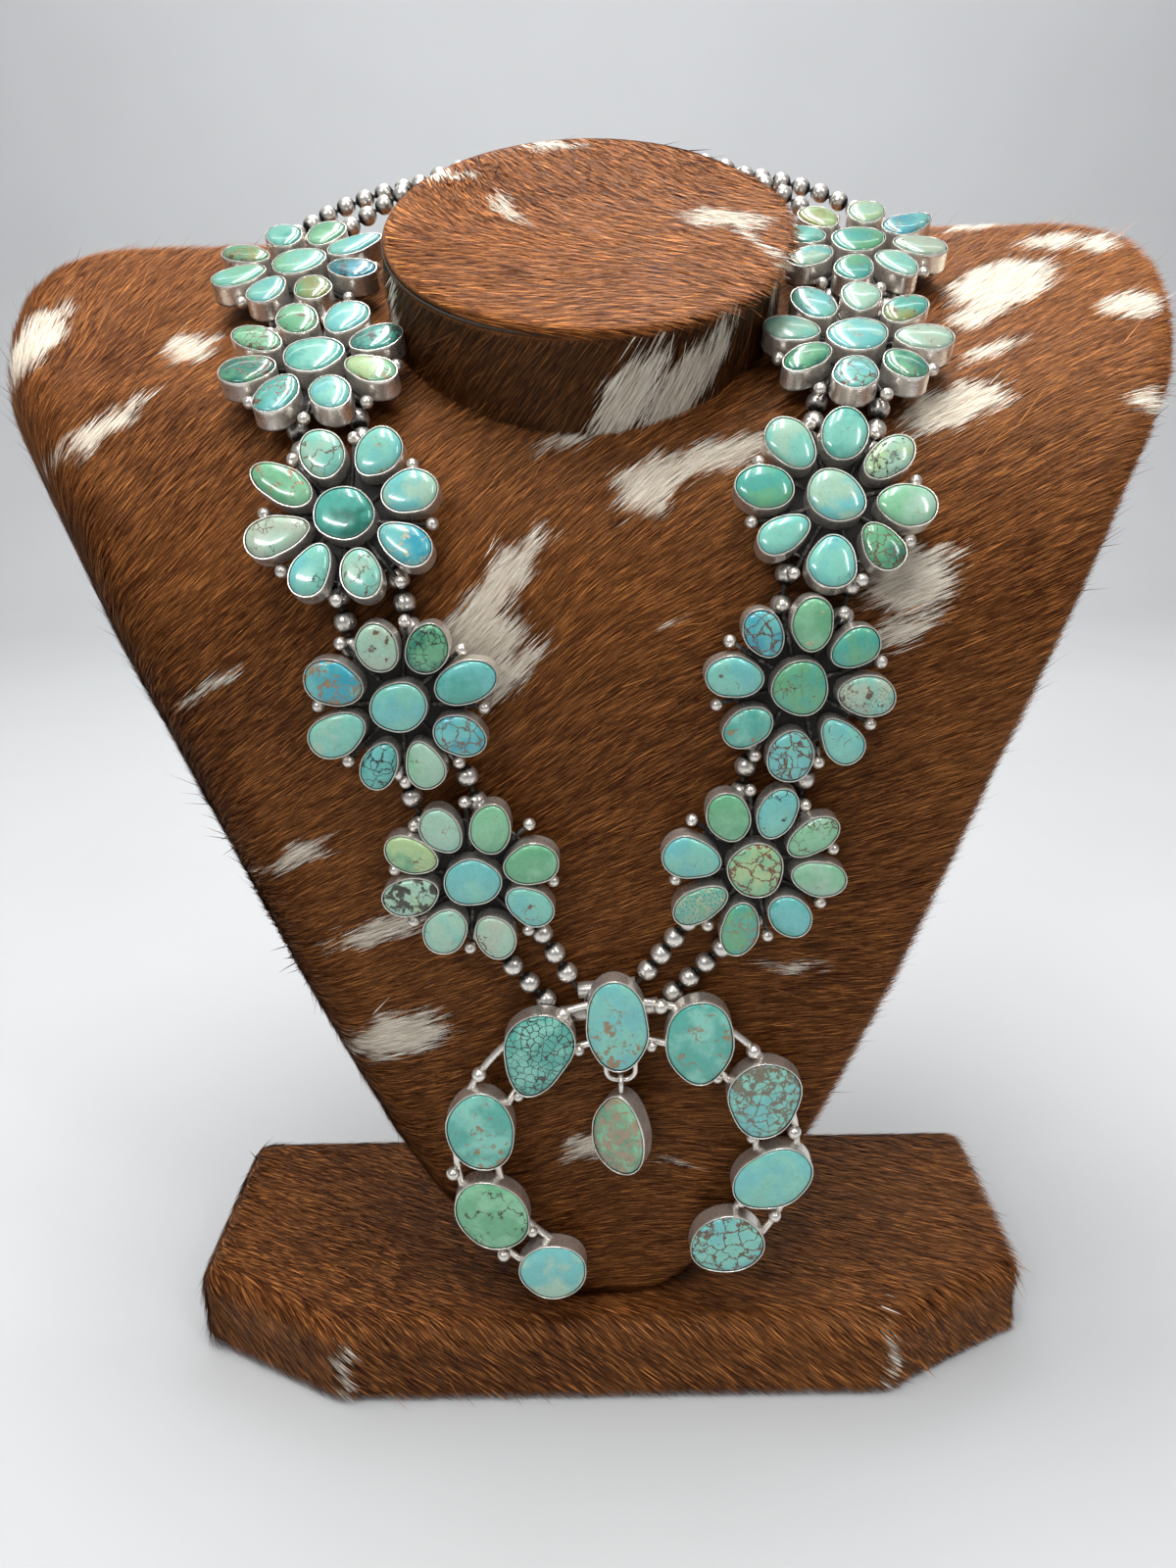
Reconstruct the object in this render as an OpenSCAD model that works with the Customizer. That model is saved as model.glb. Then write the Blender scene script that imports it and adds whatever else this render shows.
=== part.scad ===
// Squash blossom necklace on a hide-covered neck bust, in millimetres.
// The origin is under the middle of the base; the front faces -Y and +Z is up.

/* [Base] */
// Width of the base at its back edge
base_w = 250; // [200:1:320]
// Width of the base at its front edge
base_front_w = 160; // [120:1:190]
// Depth of the base from front to back
base_d = 90; // [78:1:130]
// Depth of the slanted front corners
base_cut_d = 24; // [10:1:40]
// Height of the base with its felt
base_h = 28; // [20:1:45]
// Rounding of the base's top edge
base_round = 6; // [2:0.5:9]
// Thickness of the felt foot
felt_t = 2.5; // [1:0.5:4]
// How far the felt stays inside the base's outline
felt_inset = 3; // [1:0.5:6]

/* [Chest form] */
// Distance of the chest's front face behind the base's front edge
chest_setback = 11; // [9:0.5:25]
// Height of the upright part of the chest above the base
chest_rise = 184; // [170:1:200]
// Radius of the bend from chest to shoulders, at the front face
bend_r = 86; // [70:1:110]
// Angle through which the shoulders lean back
bend_deg = 58; // [48:1:64]
// Length of the flat shoulders behind the bend
shoulder_len = 81; // [78:1:100]
// Width of the form at its shoulders
form_w = 324; // [300:1:360]
// Thickness of the form
form_t = 30; // [20:1:40]
// Rounding along the form's edges
form_round = 9; // [4:0.5:9.5]

/* [Neck] */
// Diameter of the neck stump
neck_d = 102.4; // [90:0.2:104]
// Height of the neck stump above the shoulders
neck_h = 23; // [20:0.5:40]
// Distance of the neck's axis behind the bend, along the shoulders
neck_set = 27.6; // [24:0.2:32]
// Thickness of the hide disc on top
disc_t = 2; // [1:0.5:4]

/* [Strands] */
// Diameter of the silver beads
bead_d = 5.5; // [4.6:0.1:5.8]
// Space between neighbouring beads
bead_space = 0.25; // [0.15:0.05:0.6]
// Diameter of the stringing thread
thread_d = 1; // [0.6:0.1:1.4]
// Clearance all round the thread in each hole
thread_clear = 0.3; // [0.15:0.05:0.4]
// Distance between the two strands at a cluster
strand_space = 15; // [13:0.5:17]
// Outer diameter of the tubes behind clusters and naja
tube_d = 4.4; // [3.6:0.1:5]
// Gap between a bead and the hide it lies on
lie_gap = 0.15; // [0.1:0.05:0.5]
// Height at which the inner strand passes round the neck
back_lift = 17.5; // [16:0.5:18.5]

/* [Clusters] */
// Distance of the petals' middles from the cluster's middle
petal_reach = 16; // [15.5:0.1:17.5]
// Length of a usual petal stone
petal_long = 13; // [11:0.1:13.6]
// Width of a usual petal stone
petal_wide = 9; // [7.5:0.1:9.4]
// Length of a usual centre stone
centre_long = 13; // [11:0.1:14]
// Width of a usual centre stone
centre_wide = 12.6; // [10:0.1:13.4]
// Distance between the middles of neighbouring clusters, at the stones
cluster_step = 48.2; // [46:0.1:50]
// Height of the cluster bezels
cup_h = 5.6; // [4.5:0.1:7]
// Thickness of a bezel's wall
cup_wall = 0.6; // [0.4:0.05:0.8]
// Thickness of a bezel's floor
cup_floor = 0.8; // [0.5:0.1:1.5]
// Gap between a stone and its bezel
stone_gap = 0.1; // [0.1:0.01:0.2]
// Rise of a dome above its bezel before what its length adds
dome_rise = 1.2; // [0.8:0.1:1.8]
// Diameter of the cluster backplate
plate_d = 30; // [26:0.5:33]
// Diameter of the shot balls between the petals
ball_d = 3.2; // [2.4:0.1:3.6]
// Width of the bars that carry the balls
bar_w = 1.3; // [1:0.1:1.8]

/* [Naja] */
// Radius of the ring on which the naja's stones sit
naja_r = 41; // [39:0.5:45]
// Height of the naja's middle above the base
naja_up = 54.5; // [53:0.5:60]
// Distance of the necklace's middle to the right of the form's
naja_side = 6.5; // [-10:0.5:12]
// Turn of the naja, left tip down
naja_turn = 5; // [0:1:8]
// Length of a usual naja stone
naja_long = 22; // [19:0.1:22.5]
// Width of a usual naja stone
naja_wide = 17; // [14:0.1:17.5]
// Thickness of the naja's two wires
naja_wire = 2; // [1.4:0.1:2.4]
// Distance between the two wires
naja_wire_space = 11; // [8:0.5:12]
// Diameter of the naja's outer shot balls
naja_ball_d = 4; // [3:0.1:4.6]

/* [Drop] */
// Length of the drop's stone
drop_long = 23.5; // [18:0.5:26]
// Width of the drop's stone
drop_wide = 14; // [11:0.5:15]
// Turn of the drop to the viewer's left
drop_turn = 24; // [0:1:26]
// Radius of the loop that carries the drop, at its wire's middle
loop_r = 3; // [2.6:0.1:3.6]
// Length of the straight stretch at the loop's foot, on which the drop swings
loop_bar = 1.8; // [1.6:0.1:2.4]
// Wire of the loop and of the drop's ring
loop_wire = 1.4; // [1:0.1:1.6]
// Inner radius of the drop's ring
ring_r = 1.7; // [1.5:0.05:2.2]
// Gap between the ring and the loop's wire, above the wire
ring_gap = 0.25; // [0.2:0.05:0.4]

/* [Hidden] */
$fn = 48;
SIDES = 14;
SEAT = 0.1;
OVER = 1;
THREAD_SIDES = 6;

// The bent form. A place on it is told by how far it lies to the right, how far up along
// the hide from the base, and how high above the hide.
chest_y = -base_d / 2 + chest_setback;
form_z = base_h + SEAT;
bend_len = bend_r * bend_deg * PI / 180;
form_len = chest_rise + bend_len + shoulder_len;
neck_up = chest_rise + bend_len + neck_set;
hole_d = thread_d + 2 * thread_clear;
bead_lift = bead_d / 2 + lie_gap;
plate_lift = bead_lift + tube_d / 2 - SEAT;
cup_lift = bead_d + 2 * lie_gap;
rim_lift = cup_lift + cup_h;
tube_len = plate_d * 0.82;
ball_reach = petal_reach + petal_long * 0.3;

function bend_at(up) = min(max((up - chest_rise) / bend_r * 180 / PI, 0), bend_deg);
function past_bend(up) = max(up - chest_rise - bend_len, 0);
function place(right, up, lift) =
  let (a = bend_at(up))
  [right,
   chest_y + bend_r * (1 - cos(a)) + past_bend(up) * sin(bend_deg) - lift * cos(a),
   form_z + min(up, chest_rise) + bend_r * sin(a) + past_bend(up) * cos(bend_deg) + lift * sin(a)];

// A place in the flat frame that touches the form at (right, up)
function place_flat(right, up, x, y, lift) =
  let (a = bend_at(up))
  place(right, up, 0) + [x, y * sin(a) - lift * cos(a), y * cos(a) + lift * sin(a)];

module seat(right, up) {
  translate(place(right, up, 0)) rotate([90 - bend_at(up), 0, 0]) children();
}

// The form's outline, from the tip on the base to the back edge.
// Columns: share of the length, share of the half width, rounding of the faces as a share of form_round.
OUTLINE = [
  [0, 0.09, 0], [0.01, 0.125, 0], [0.022, 0.155, 0], [0.045, 0.2, 0], [0.085, 0.278, 0], [0.115, 0.322, 0],
  [0.15, 0.363, 0], [0.215, 0.427, 0], [0.285, 0.492, 0], [0.425, 0.608, 0], [0.523, 0.69, 0],
  [0.56, 0.722, 0], [0.6, 0.757, 0], [0.64, 0.795, 0], [0.68, 0.837, 0], [0.72, 0.88, 0],
  [0.765, 0.926, 0], [0.81, 0.962, 0], [0.86, 0.988, 0], [0.91, 1, 0], [0.945, 0.985, 0.06],
  [0.968, 0.95, 0.16], [0.984, 0.895, 0.34], [0.994, 0.82, 0.6], [1, 0.7, 0.95]];
CORNER_STEPS = 4;

// One section of the form: a rounded box whose front face is the hide
function form_section(row) =
  let (up = row[0] * form_len, half = row[1] * form_w / 2, inset = row[2] * form_round,
       r = form_round - inset * 0.6, front = -inset, back = inset - form_t)
  [for (corner = [0:3], k = [0:CORNER_STEPS])
    let (a = 90 * corner + 90 * k / CORNER_STEPS,
         cx = (corner == 0 || corner == 3) ? half - r : r - half,
         cl = (corner < 2) ? front - r : back + r)
    place(cx + r * cos(a), up, cl + r * sin(a))];

// A solid between a list of rings with the same number of points, capped or closed on itself
module loft(rings, closed = false) {
  n = len(rings[0]);
  m = len(rings);
  last = closed ? m - 1 : m - 2;
  polyhedron(
    points = [for (ring = rings, p = ring) p],
    faces = concat(
      [for (j = [0:last], i = [0:n - 1])
        let (a = j * n, b = ((j + 1) % m) * n, i2 = (i + 1) % n)
        [a + i, b + i, a + i2]],
      [for (j = [0:last], i = [0:n - 1])
        let (a = j * n, b = ((j + 1) % m) * n, i2 = (i + 1) % n)
        [a + i2, b + i, b + i2]],
      closed ? [] : [[for (i = [0:n - 1]) i]],
      closed ? [] : [[for (i = [n - 1:-1:0]) (m - 1) * n + i]]));
}

// The base's outline, set in by a distance
function base_outline(inset) =
  let (w = base_w / 2 - inset, f = base_front_w / 2 - inset * 0.55, b = base_d / 2 - inset,
       cut = base_cut_d - inset * 0.4)
  [[-w, b], [-w, -b + cut], [-f, -b], [f, -b], [w, -b + cut], [w, b]];

// An egg-shaped outline with its long axis along Y; taper widens the far end
function egg(long, wide, taper) =
  [for (k = [0:SIDES - 1])
    let (t = 360 * (k + 0.5) / SIDES)
    [wide / 2 * sin(t) * (1 + taper * cos(t)), long / 2 * cos(t)]];

// Height of a stone's crown above its bezel, and the sphere that gives it
function crown(long) = dome_rise + 0.075 * long;
function crown_r(long) = (long * long / 4 + crown(long) * crown(long)) / (2 * crown(long));

// A stone is told by [x, y, turn, long, wide, taper]
module at_stone(st) {
  translate([st[0], st[1], 0]) rotate(st[2]) children();
}

module cabochon(st, lift, height) {
  long = st[3];
  bottom = lift + cup_floor + stone_gap;
  at_stone(st) intersection() {
    translate([0, 0, bottom]) linear_extrude(height) polygon(egg(long, st[4], st[5]));
    translate([0, 0, lift + height + crown(long) - crown_r(long)]) sphere(crown_r(long), $fn = 96);
  }
}

module cup_outline(st) {
  grow = 2 * (cup_wall + stone_gap);
  translate([st[0], st[1]]) rotate(st[2]) polygon(egg(st[3] + grow, st[4] + grow, st[5]));
}

module cup_pocket(st, lift, height) {
  grow = 2 * stone_gap;
  at_stone(st) translate([0, 0, lift + cup_floor]) linear_extrude(height)
    polygon(egg(st[3] + grow, st[4] + grow, st[5]));
}

// The two chains of clusters, counted from the naja up.
// Columns: share of the step on the hide, then lean of the step and of the tubes as shares of hang_deg.
CHAIN = [
  [[1.03, 1.41, 1.23], [0.99, 1.06, 1.06], [0.87, 0.88, 0.88], [0.885, 0.82, 0.76], [0.97, 0.76, 0.47]],
  [[1.03, 1.26, 0.94], [0.97, 0.7, 0.7], [0.84, 0.7, 0.7], [0.9, 0.76, 0.64], [0.99, 0.53, 0.23]]];
SIDE_NAMES = ["left", "right"];
COUNT = 5;

// The chains hang from both sides of the neck, so a wider neck spreads them
neck_room = neck_d / 2 + petal_reach + 0.35 * petal_long;
hang_deg = atan(neck_room / (naja_r + (COUNT - 1) * cluster_step));

// Middle of a cluster as [right, up]; side 0 is the left one in the picture
function cluster_at(side, k) =
  let (row = CHAIN[side][k], turn = (side == 0 ? 1 : -1) * row[1] * hang_deg,
       from = k == 0 ? [naja_side, naja_up] : cluster_at(side, k - 1),
       step = (k == 0 ? naja_r : 0) + row[0] * cluster_step)
  from + step * [-sin(turn), cos(turn)];
function tube_turn(side, k) = (side == 0 ? 1 : -1) * CHAIN[side][k][2] * hang_deg;

// The stones' outlines, charted by eye.
// Columns: angle, share of petal_reach, share of petal_long, share of petal_wide, turn, taper.
PETALS = [
  [ // left side, from the naja up
    [[117, 0.97, 0.88, 0.95, 5, 0.05], [70, 0.93, 0.92, 1.02, 12, 0], [17, 0.96, 0.98, 1.1, -6, 0.1],
     [334, 0.97, 0.93, 0.95, -8, 0.1], [288, 1, 0.88, 0.98, 8, 0], [240, 0.95, 0.92, 1.08, 3, 0.12],
     [193, 1, 1.04, 1.02, 3, 0.12], [153, 1.04, 0.97, 0.93, 4, 0.1]],
    [[106, 0.93, 0.82, 1, 0, 0], [61, 0.98, 0.86, 1, 3, 0], [19, 1.05, 1.1, 1.03, 0, 0.12],
     [332, 0.98, 0.94, 0.98, 6, 0.05], [289, 0.96, 0.87, 0.9, -6, 0.25], [248, 0.98, 0.88, 0.85, -4, 0.05],
     [203, 1.04, 1.05, 1.05, 3, 0.1], [158, 1.02, 1.02, 1.1, 5, 0.05]],
    [[110, 0.97, 0.88, 1.05, 0, 0.05], [62, 1.03, 0.93, 1.03, -7, 0.18], [18, 1, 0.98, 1.05, -5, 0.05],
     [332, 1, 1, 0.92, -5, 0.15], [285, 0.93, 0.86, 0.95, 0, 0.12], [240, 0.97, 0.96, 0.88, 3, 0.18],
     [197, 1.03, 1.12, 0.95, 0, 0.28], [153, 1.04, 1.15, 0.86, -3, -0.12]],
    [[112, 1, 0.95, 1.05, 0, 0.05], [67, 1.02, 1, 1.1, 4, 0.15], [22, 1, 1.02, 0.98, 8, 0.12],
     [337, 1, 1.05, 0.92, -8, 0.12], [291, 1, 0.92, 1, 0, 0.05], [245, 1.03, 1.05, 1.02, 6, 0.15],
     [199, 1.04, 1, 1.1, -4, 0.1], [155, 1.04, 1.08, 0.87, -8, 0.05]],
    [[163, 1, 1.02, 0.9, -6, 0.05], [113, 1, 0.95, 1, -5, 0.05], [71, 1.02, 1.02, 1.02, 5, 0.12],
     [31, 1.05, 1.18, 0.88, 6, -0.25], [343, 0.98, 0.98, 1.02, 0, 0.1], [292, 0.97, 0.9, 0.98, -8, 0.05],
     [247, 1, 1, 0.92, 5, 0.12], [205, 1.04, 1.08, 1, 5, 0.12]]],
  [ // right side, from the naja up
    [[116, 0.98, 0.92, 1.05, -8, 0.12], [72, 0.98, 0.95, 0.93, -5, 0.05], [32, 1.02, 1, 0.84, 2, 0.08],
     [351, 0.98, 1, 0.93, -6, 0.18], [305, 0.97, 0.88, 1, 3, -0.08], [257, 1.02, 1.06, 0.95, 4, 0.05],
     [213, 1.03, 1.08, 0.88, -2, 0.08], [167, 1.02, 1.05, 1.1, 0, 0.18]],
    [[124, 1, 0.85, 0.88, -5, 0.2], [82, 0.97, 0.92, 0.95, 8, 0.05], [38, 0.98, 0.85, 0.9, -8, 0.08],
     [353, 0.98, 1, 0.98, -4, 0.05], [308, 1.02, 0.92, 0.87, -2, 0.22], [263, 1.02, 0.92, 1.12, 0, 0.15],
     [216, 0.95, 0.88, 0.93, -8, 0.05], [168, 1, 1, 0.98, 4, 0.08]],
    [[127, 1.03, 1.02, 1.03, -2, 0.08], [80, 0.95, 0.93, 1.12, -5, 0.1], [35, 0.98, 0.97, 0.87, 2, 0.05],
     [351, 1.03, 1.02, 1.03, 0, 0.08], [309, 0.99, 0.88, 0.88, -8, 0.18], [264, 0.98, 0.92, 1.12, 0, 0.18],
     [215, 0.96, 0.95, 0.82, -5, 0.12], [171, 1.03, 1, 1.08, -2, 0.08]],
    [[123, 1.04, 1.05, 1.05, -8, 0.05], [79, 1.02, 0.92, 1, 0, 0.3], [38, 1.05, 1.02, 0.95, 6, 0.05],
     [353, 1.02, 1.05, 1.05, 4, 0.08], [307, 0.99, 0.92, 0.95, -6, 0.08], [260, 0.97, 0.93, 1.08, -6, 0.15],
     [213, 1, 1.05, 0.85, 8, 0.05], [169, 1.02, 1.02, 1.03, -8, 0.08]],
    [[125, 1, 0.95, 1.02, -8, 0.05], [74, 1, 0.95, 1.03, -5, 0.05], [29, 1.05, 1.18, 1, 6, -0.28],
     [344, 1.03, 1.05, 1.05, -10, 0.05], [301, 1, 1.05, 0.92, -8, -0.22], [257, 0.97, 0.97, 1.03, -6, 0.12],
     [211, 1.02, 1.05, 0.9, 6, 0.12], [168, 1, 1.05, 0.95, 4, -0.12]]]];

// Centre stones. Columns: share of centre_long, share of centre_wide, turn, taper.
CENTRES = [
  [[1.02, 0.92, 95, 0.05], [1, 0.87, 110, 0.05], [1.02, 0.95, 90, 0.1], [1.08, 1, 100, 0.05], [1.08, 0.95, 130, 0]],
  [[1.06, 1, 10, 0.05], [0.98, 0.95, 30, 0.25], [1.02, 0.87, 55, 0.08], [1.1, 0.98, 105, 0], [1.08, 0.97, 120, 0.1]]];

function petal(side, k, i) =
  let (row = PETALS[side][k][i], reach = row[1] * petal_reach)
  [reach * cos(row[0]), reach * sin(row[0]), row[0] + row[4] - 90, row[2] * petal_long, row[3] * petal_wide, row[5]];
function centre(side, k) =
  let (row = CENTRES[side][k])
  [0, 0, row[2], row[0] * centre_long, row[1] * centre_wide, row[3]];
function gap_angle(side, k, i) =
  let (a = PETALS[side][k][i][0], b = PETALS[side][k][(i + 1) % 8][0])
  b > a ? (a + b - 360) / 2 : (a + b) / 2;

module at_cluster(side, k) {
  c = cluster_at(side, k);
  seat(c[0], c[1]) children();
}

// Silver part of one cluster: plate, cups, balls on their bars, and two tubes for the strands
module setting(side, k) {
  stones = concat([centre(side, k)], [for (i = [0:7]) petal(side, k, i)]);
  turn = tube_turn(side, k);
  bar_start = centre_wide * 0.45;
  at_cluster(side, k) color("silver") difference() {
    union() {
      translate([0, 0, plate_lift]) cylinder(d = plate_d, h = cup_lift - plate_lift + cup_floor / 2);
      translate([0, 0, cup_lift]) linear_extrude(cup_h) for (st = stones) cup_outline(st);
      for (i = [0:7]) rotate(gap_angle(side, k, i)) {
        translate([bar_start, -bar_w / 2, cup_lift + 3 * SEAT]) cube([ball_reach - bar_start, bar_w, bar_w]);
        translate([ball_reach, 0, cup_lift + SEAT + ball_d / 2]) sphere(d = ball_d, $fn = 32);
      }
      for (x = [-1, 1]) rotate(turn) translate([x * strand_space / 2, 0, bead_lift]) rotate([90, 0, 0])
        cylinder(d = tube_d, h = tube_len, center = true);
    }
    for (st = stones) cup_pocket(st, cup_lift, cup_h);
    for (x = [-1, 1]) rotate(turn) translate([x * strand_space / 2, 0, bead_lift]) rotate([90, 0, 0])
      cylinder(d = hole_d, h = tube_len + 2 * OVER, center = true);
  }
}

module centre_stone(side, k) {
  at_cluster(side, k) color("mediumturquoise") cabochon(centre(side, k), cup_lift, cup_h);
}

module petal_stones(side, k) {
  at_cluster(side, k) color("turquoise") for (i = [0:7]) cabochon(petal(side, k, i), cup_lift, cup_h);
}

// The naja's nine stones, the top one first, then down the left and down the right.
// Columns: angle from the top, share of naja_r, share of naja_long, share of naja_wide, turn, taper.
NAJA = [
  [0, 1, 1.16, 0.9, 0, 0.05],
  [30, 0.98, 1.1, 0.97, -52, 0.3], [71, 0.98, 1.06, 1.02, -76, 0.05],
  [110, 1, 1.02, 1.08, -80, 0.05], [145, 1.03, 0.82, 1, -70, 0],
  [-34, 0.99, 1.1, 0.98, 28, 0.15], [-69, 1, 1, 1.08, 60, 0.12],
  [-105, 0.98, 1, 1, 40, 0.08], [-141, 0.96, 0.9, 1.04, 62, 0.1]];
function naja_stone(i) =
  let (row = NAJA[i], a = 90 + row[0] + (i > 0 ? naja_turn : naja_turn / 2), r = row[1] * naja_r)
  [r * cos(a), r * sin(a), a - 90 + row[4], row[2] * naja_long, row[3] * naja_wide, row[5]];
// Balls of the naja. Columns: angle from the top, share of the wire spacing from the ring, share of naja_ball_d.
NAJA_BALLS = [
  [15, 0.5, 1], [15, -0.55, 0.75], [51, 0.52, 1], [51, -0.6, 0.75], [91, 0.62, 0.95], [128, 0.62, 0.95],
  [128, -0.42, 0.8], [-17, 0.5, 1], [-17, -0.6, 0.75], [-52, 0.5, 1], [-51, -0.62, 0.75], [-87, 0.45, 0.95],
  [-87, -0.6, 0.75], [-122, 0.45, 0.9], [-122, -0.5, 0.75]];
naja_lift = cup_lift;
naja_wire_lift = naja_lift + 0.7 * naja_wire;
naja_cup_h = cup_h;

module at_naja() {
  seat(naja_side, naja_up) children();
}

// The strands pass behind the naja's top stone. Distances above the ring's middle and half lengths.
naja_inner_up = naja_r + 0.44 * naja_wide;
naja_outer_up = naja_r + 0.05 * naja_wide;
naja_inner_half = 0.345 * naja_long;
naja_outer_half = 0.59 * naja_long;

// The loop under the top stone and the drop's hinge on it
top_stone_low = naja_stone(0)[1] - naja_stone(0)[3] / 2 - cup_wall - stone_gap;
loop_lift = naja_lift + naja_cup_h / 2;
hinge_up = top_stone_low - loop_r - loop_wire / 2 + SEAT;
hinge_x = naja_stone(0)[0] * 0.6;

module naja_frame() {
  stones = [for (i = [0:8]) naja_stone(i)];
  span = NAJA[4][0] - NAJA[8][0];
  at_naja() color("silver") difference() {
    union() {
      for (side = [-1, 1]) rotate(90 + naja_turn + NAJA[8][0]) translate([0, 0, naja_wire_lift])
        rotate_extrude(angle = span, $fn = 96) translate([naja_r + side * naja_wire_space / 2, 0])
          square(naja_wire, center = true);
      translate([0, 0, naja_lift]) linear_extrude(naja_cup_h) for (st = stones) cup_outline(st);
      for (row = NAJA_BALLS) rotate(90 + naja_turn + row[0])
        translate([naja_r + row[1] * naja_wire_space, 0, naja_wire_lift + naja_wire * 0.65])
          sphere(d = row[2] * naja_ball_d, $fn = 32);
      rotate(naja_turn) {
        naja_tube(naja_inner_up, naja_inner_half);
        naja_tube(naja_outer_up, naja_outer_half);
      }
      rotate(naja_turn) translate([0, (naja_inner_up + naja_outer_up) / 2, plate_lift])
        cylinder(d = 0.75 * naja_wide, h = naja_lift - plate_lift + cup_floor / 2);
      translate([hinge_x, hinge_up + loop_r, loop_lift]) {
        for (x = [0, 1]) mirror([x, 0, 0]) translate([loop_bar / 2, 0, 0]) {
          rotate(-90) rotate_extrude(angle = 90) translate([loop_r, 0]) circle(d = loop_wire, $fn = 20);
          translate([loop_r, 0, 0]) rotate([-90, 0, 0]) cylinder(d = loop_wire, h = loop_r, $fn = 20);
        }
        translate([-loop_bar / 2, -loop_r, 0]) rotate([0, 90, 0]) cylinder(d = loop_wire, h = loop_bar, $fn = 20);
      }
    }
    for (st = stones) cup_pocket(st, naja_lift, naja_cup_h);
    rotate(naja_turn) {
      naja_hole(naja_inner_up, naja_inner_half);
      naja_hole(naja_outer_up, naja_outer_half);
    }
  }
}

module naja_tube(up, half) {
  translate([0, up, bead_lift]) rotate([0, 90, 0]) cylinder(d = tube_d, h = 2 * half, center = true);
}

module naja_hole(up, half) {
  translate([0, up, bead_lift]) rotate([0, 90, 0]) cylinder(d = hole_d, h = 2 * half + 2 * OVER, center = true);
}

// The drop hangs from the loop and swings fore and aft about the loop's lowest wire
drop_ring_mid = ring_r + loop_wire / 2;
ring_low = ring_r - loop_wire / 2 - ring_gap;
drop_top = ring_low + ring_r + loop_wire * 0.6;
drop_half = cup_h / 2;
drop_st = [0, -drop_top - drop_long / 2 - cup_wall, 0, drop_long, drop_wide, -0.22];

module at_hinge() {
  at_naja() translate([hinge_x, hinge_up, loop_lift]) children();
}

module drop_setting() {
  at_hinge() color("silver") {
    translate([0, -ring_low, 0]) rotate([0, 90, 0]) rotate_extrude() translate([drop_ring_mid, 0])
      circle(d = loop_wire, $fn = 20);
    rotate([0, -drop_turn, 0]) difference() {
      translate([0, 0, -drop_half]) linear_extrude(cup_h) cup_outline(drop_st);
      cup_pocket(drop_st, -drop_half, cup_h);
    }
  }
}

module drop_stone() {
  at_hinge() color("mediumseagreen") rotate([0, -drop_turn, 0]) cabochon(drop_st, -drop_half, cup_h);
}

// A place on the line of a cluster's tube, and the tube's ends; strand -1 is the inner one, end 1 the upper one
function tube_line(side, k, strand, y, lift) =
  let (c = cluster_at(side, k), t = tube_turn(side, k), x = strand * (side == 0 ? -1 : 1) * strand_space / 2)
  place_flat(c[0], c[1], x * cos(t) - y * sin(t), x * sin(t) + y * cos(t), lift);
function tube_end(side, k, strand, end) = tube_line(side, k, strand, end * tube_len / 2, bead_lift);
function naja_end(side, strand) =
  let (half = strand < 0 ? naja_inner_half : naja_outer_half, up = strand < 0 ? naja_inner_up : naja_outer_up,
       x = side == 0 ? -half : half)
  place_flat(naja_side, naja_up, x * cos(naja_turn) - up * sin(naja_turn),
    x * sin(naja_turn) + up * cos(naja_turn), bead_lift);

// The way round the neck, right half, from the back's middle to the top clusters.
// Columns: distance from the middle, distance behind the neck's axis past its wall, height above the shoulders.
BACK_INNER = [[7, 0, 0], [14, 0, 0], [26, 0, -0.8], [39, 0.2, -3.2], [50, -1.5, -6.6], [60, -5, -10.4]];
BACK_OUTER = [[7, 0, -6.6], [14, 1, -6.8], [27, 3, -7.4], [42, 5, -8.3], [56, 4.6, -9.5], [67.5, 0.5, -11],
  [76.5, -4.4, -12.8]];
back_reach = neck_d / 2 + bead_d / 2 + 2 * lie_gap;
function back_half(strand, mirror) =
  [for (row = strand < 0 ? BACK_INNER : BACK_OUTER)
    place(mirror * row[0], neck_up + back_reach + row[1], back_lift + row[2])];
function reversed(list) = [for (i = [len(list) - 1:-1:0]) list[i]];
// The strands keep low until they are clear of the top clusters' petals
function back_start(side, strand) =
  let (k = COUNT - 1)
  [tube_end(side, k, strand, 1), tube_line(side, k, strand, petal_reach + 0.7 * petal_long, bead_lift + 2 * lie_gap)];
function back_points(strand) = concat(
  back_start(0, strand), reversed(back_half(strand, -1)), back_half(strand, 1), reversed(back_start(1, strand)));

// A smooth line through points, and a walk along a line
SMOOTH = 4;
function on_curve(a, b, c, d, t) =
  0.5 * (2 * b + (c - a) * t + (2 * a - 5 * b + 4 * c - d) * t * t + (3 * b - a - 3 * c + d) * t * t * t);
function smooth(p) = concat(
  [for (i = [0:len(p) - 2], k = [0:SMOOTH - 1])
    on_curve(p[max(i - 1, 0)], p[i], p[i + 1], p[min(i + 2, len(p) - 1)], k / SMOOTH)],
  [p[len(p) - 1]]);
function lengths(p) = [for (i = 0, d = 0; i < len(p);
  d = d + norm(p[min(i + 1, len(p) - 1)] - p[i]), i = i + 1) d];
function walk(p, marks, d) =
  let (i = max([for (j = [0:len(p) - 2]) if (marks[j] <= d) j]))
  p[i] + (p[i + 1] - p[i]) * (d - marks[i]) / (marks[i + 1] - marks[i]);

module bead() {
  color("silver") difference() {
    sphere(d = bead_d, $fn = 32);
    cylinder(d = hole_d, h = bead_d + OVER, center = true, $fn = 24);
  }
}

// Turns an object's Z axis to a direction
module along(v) {
  rotate([0, acos(v[2] / norm(v)), atan2(v[1], v[0])]) children();
}

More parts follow.
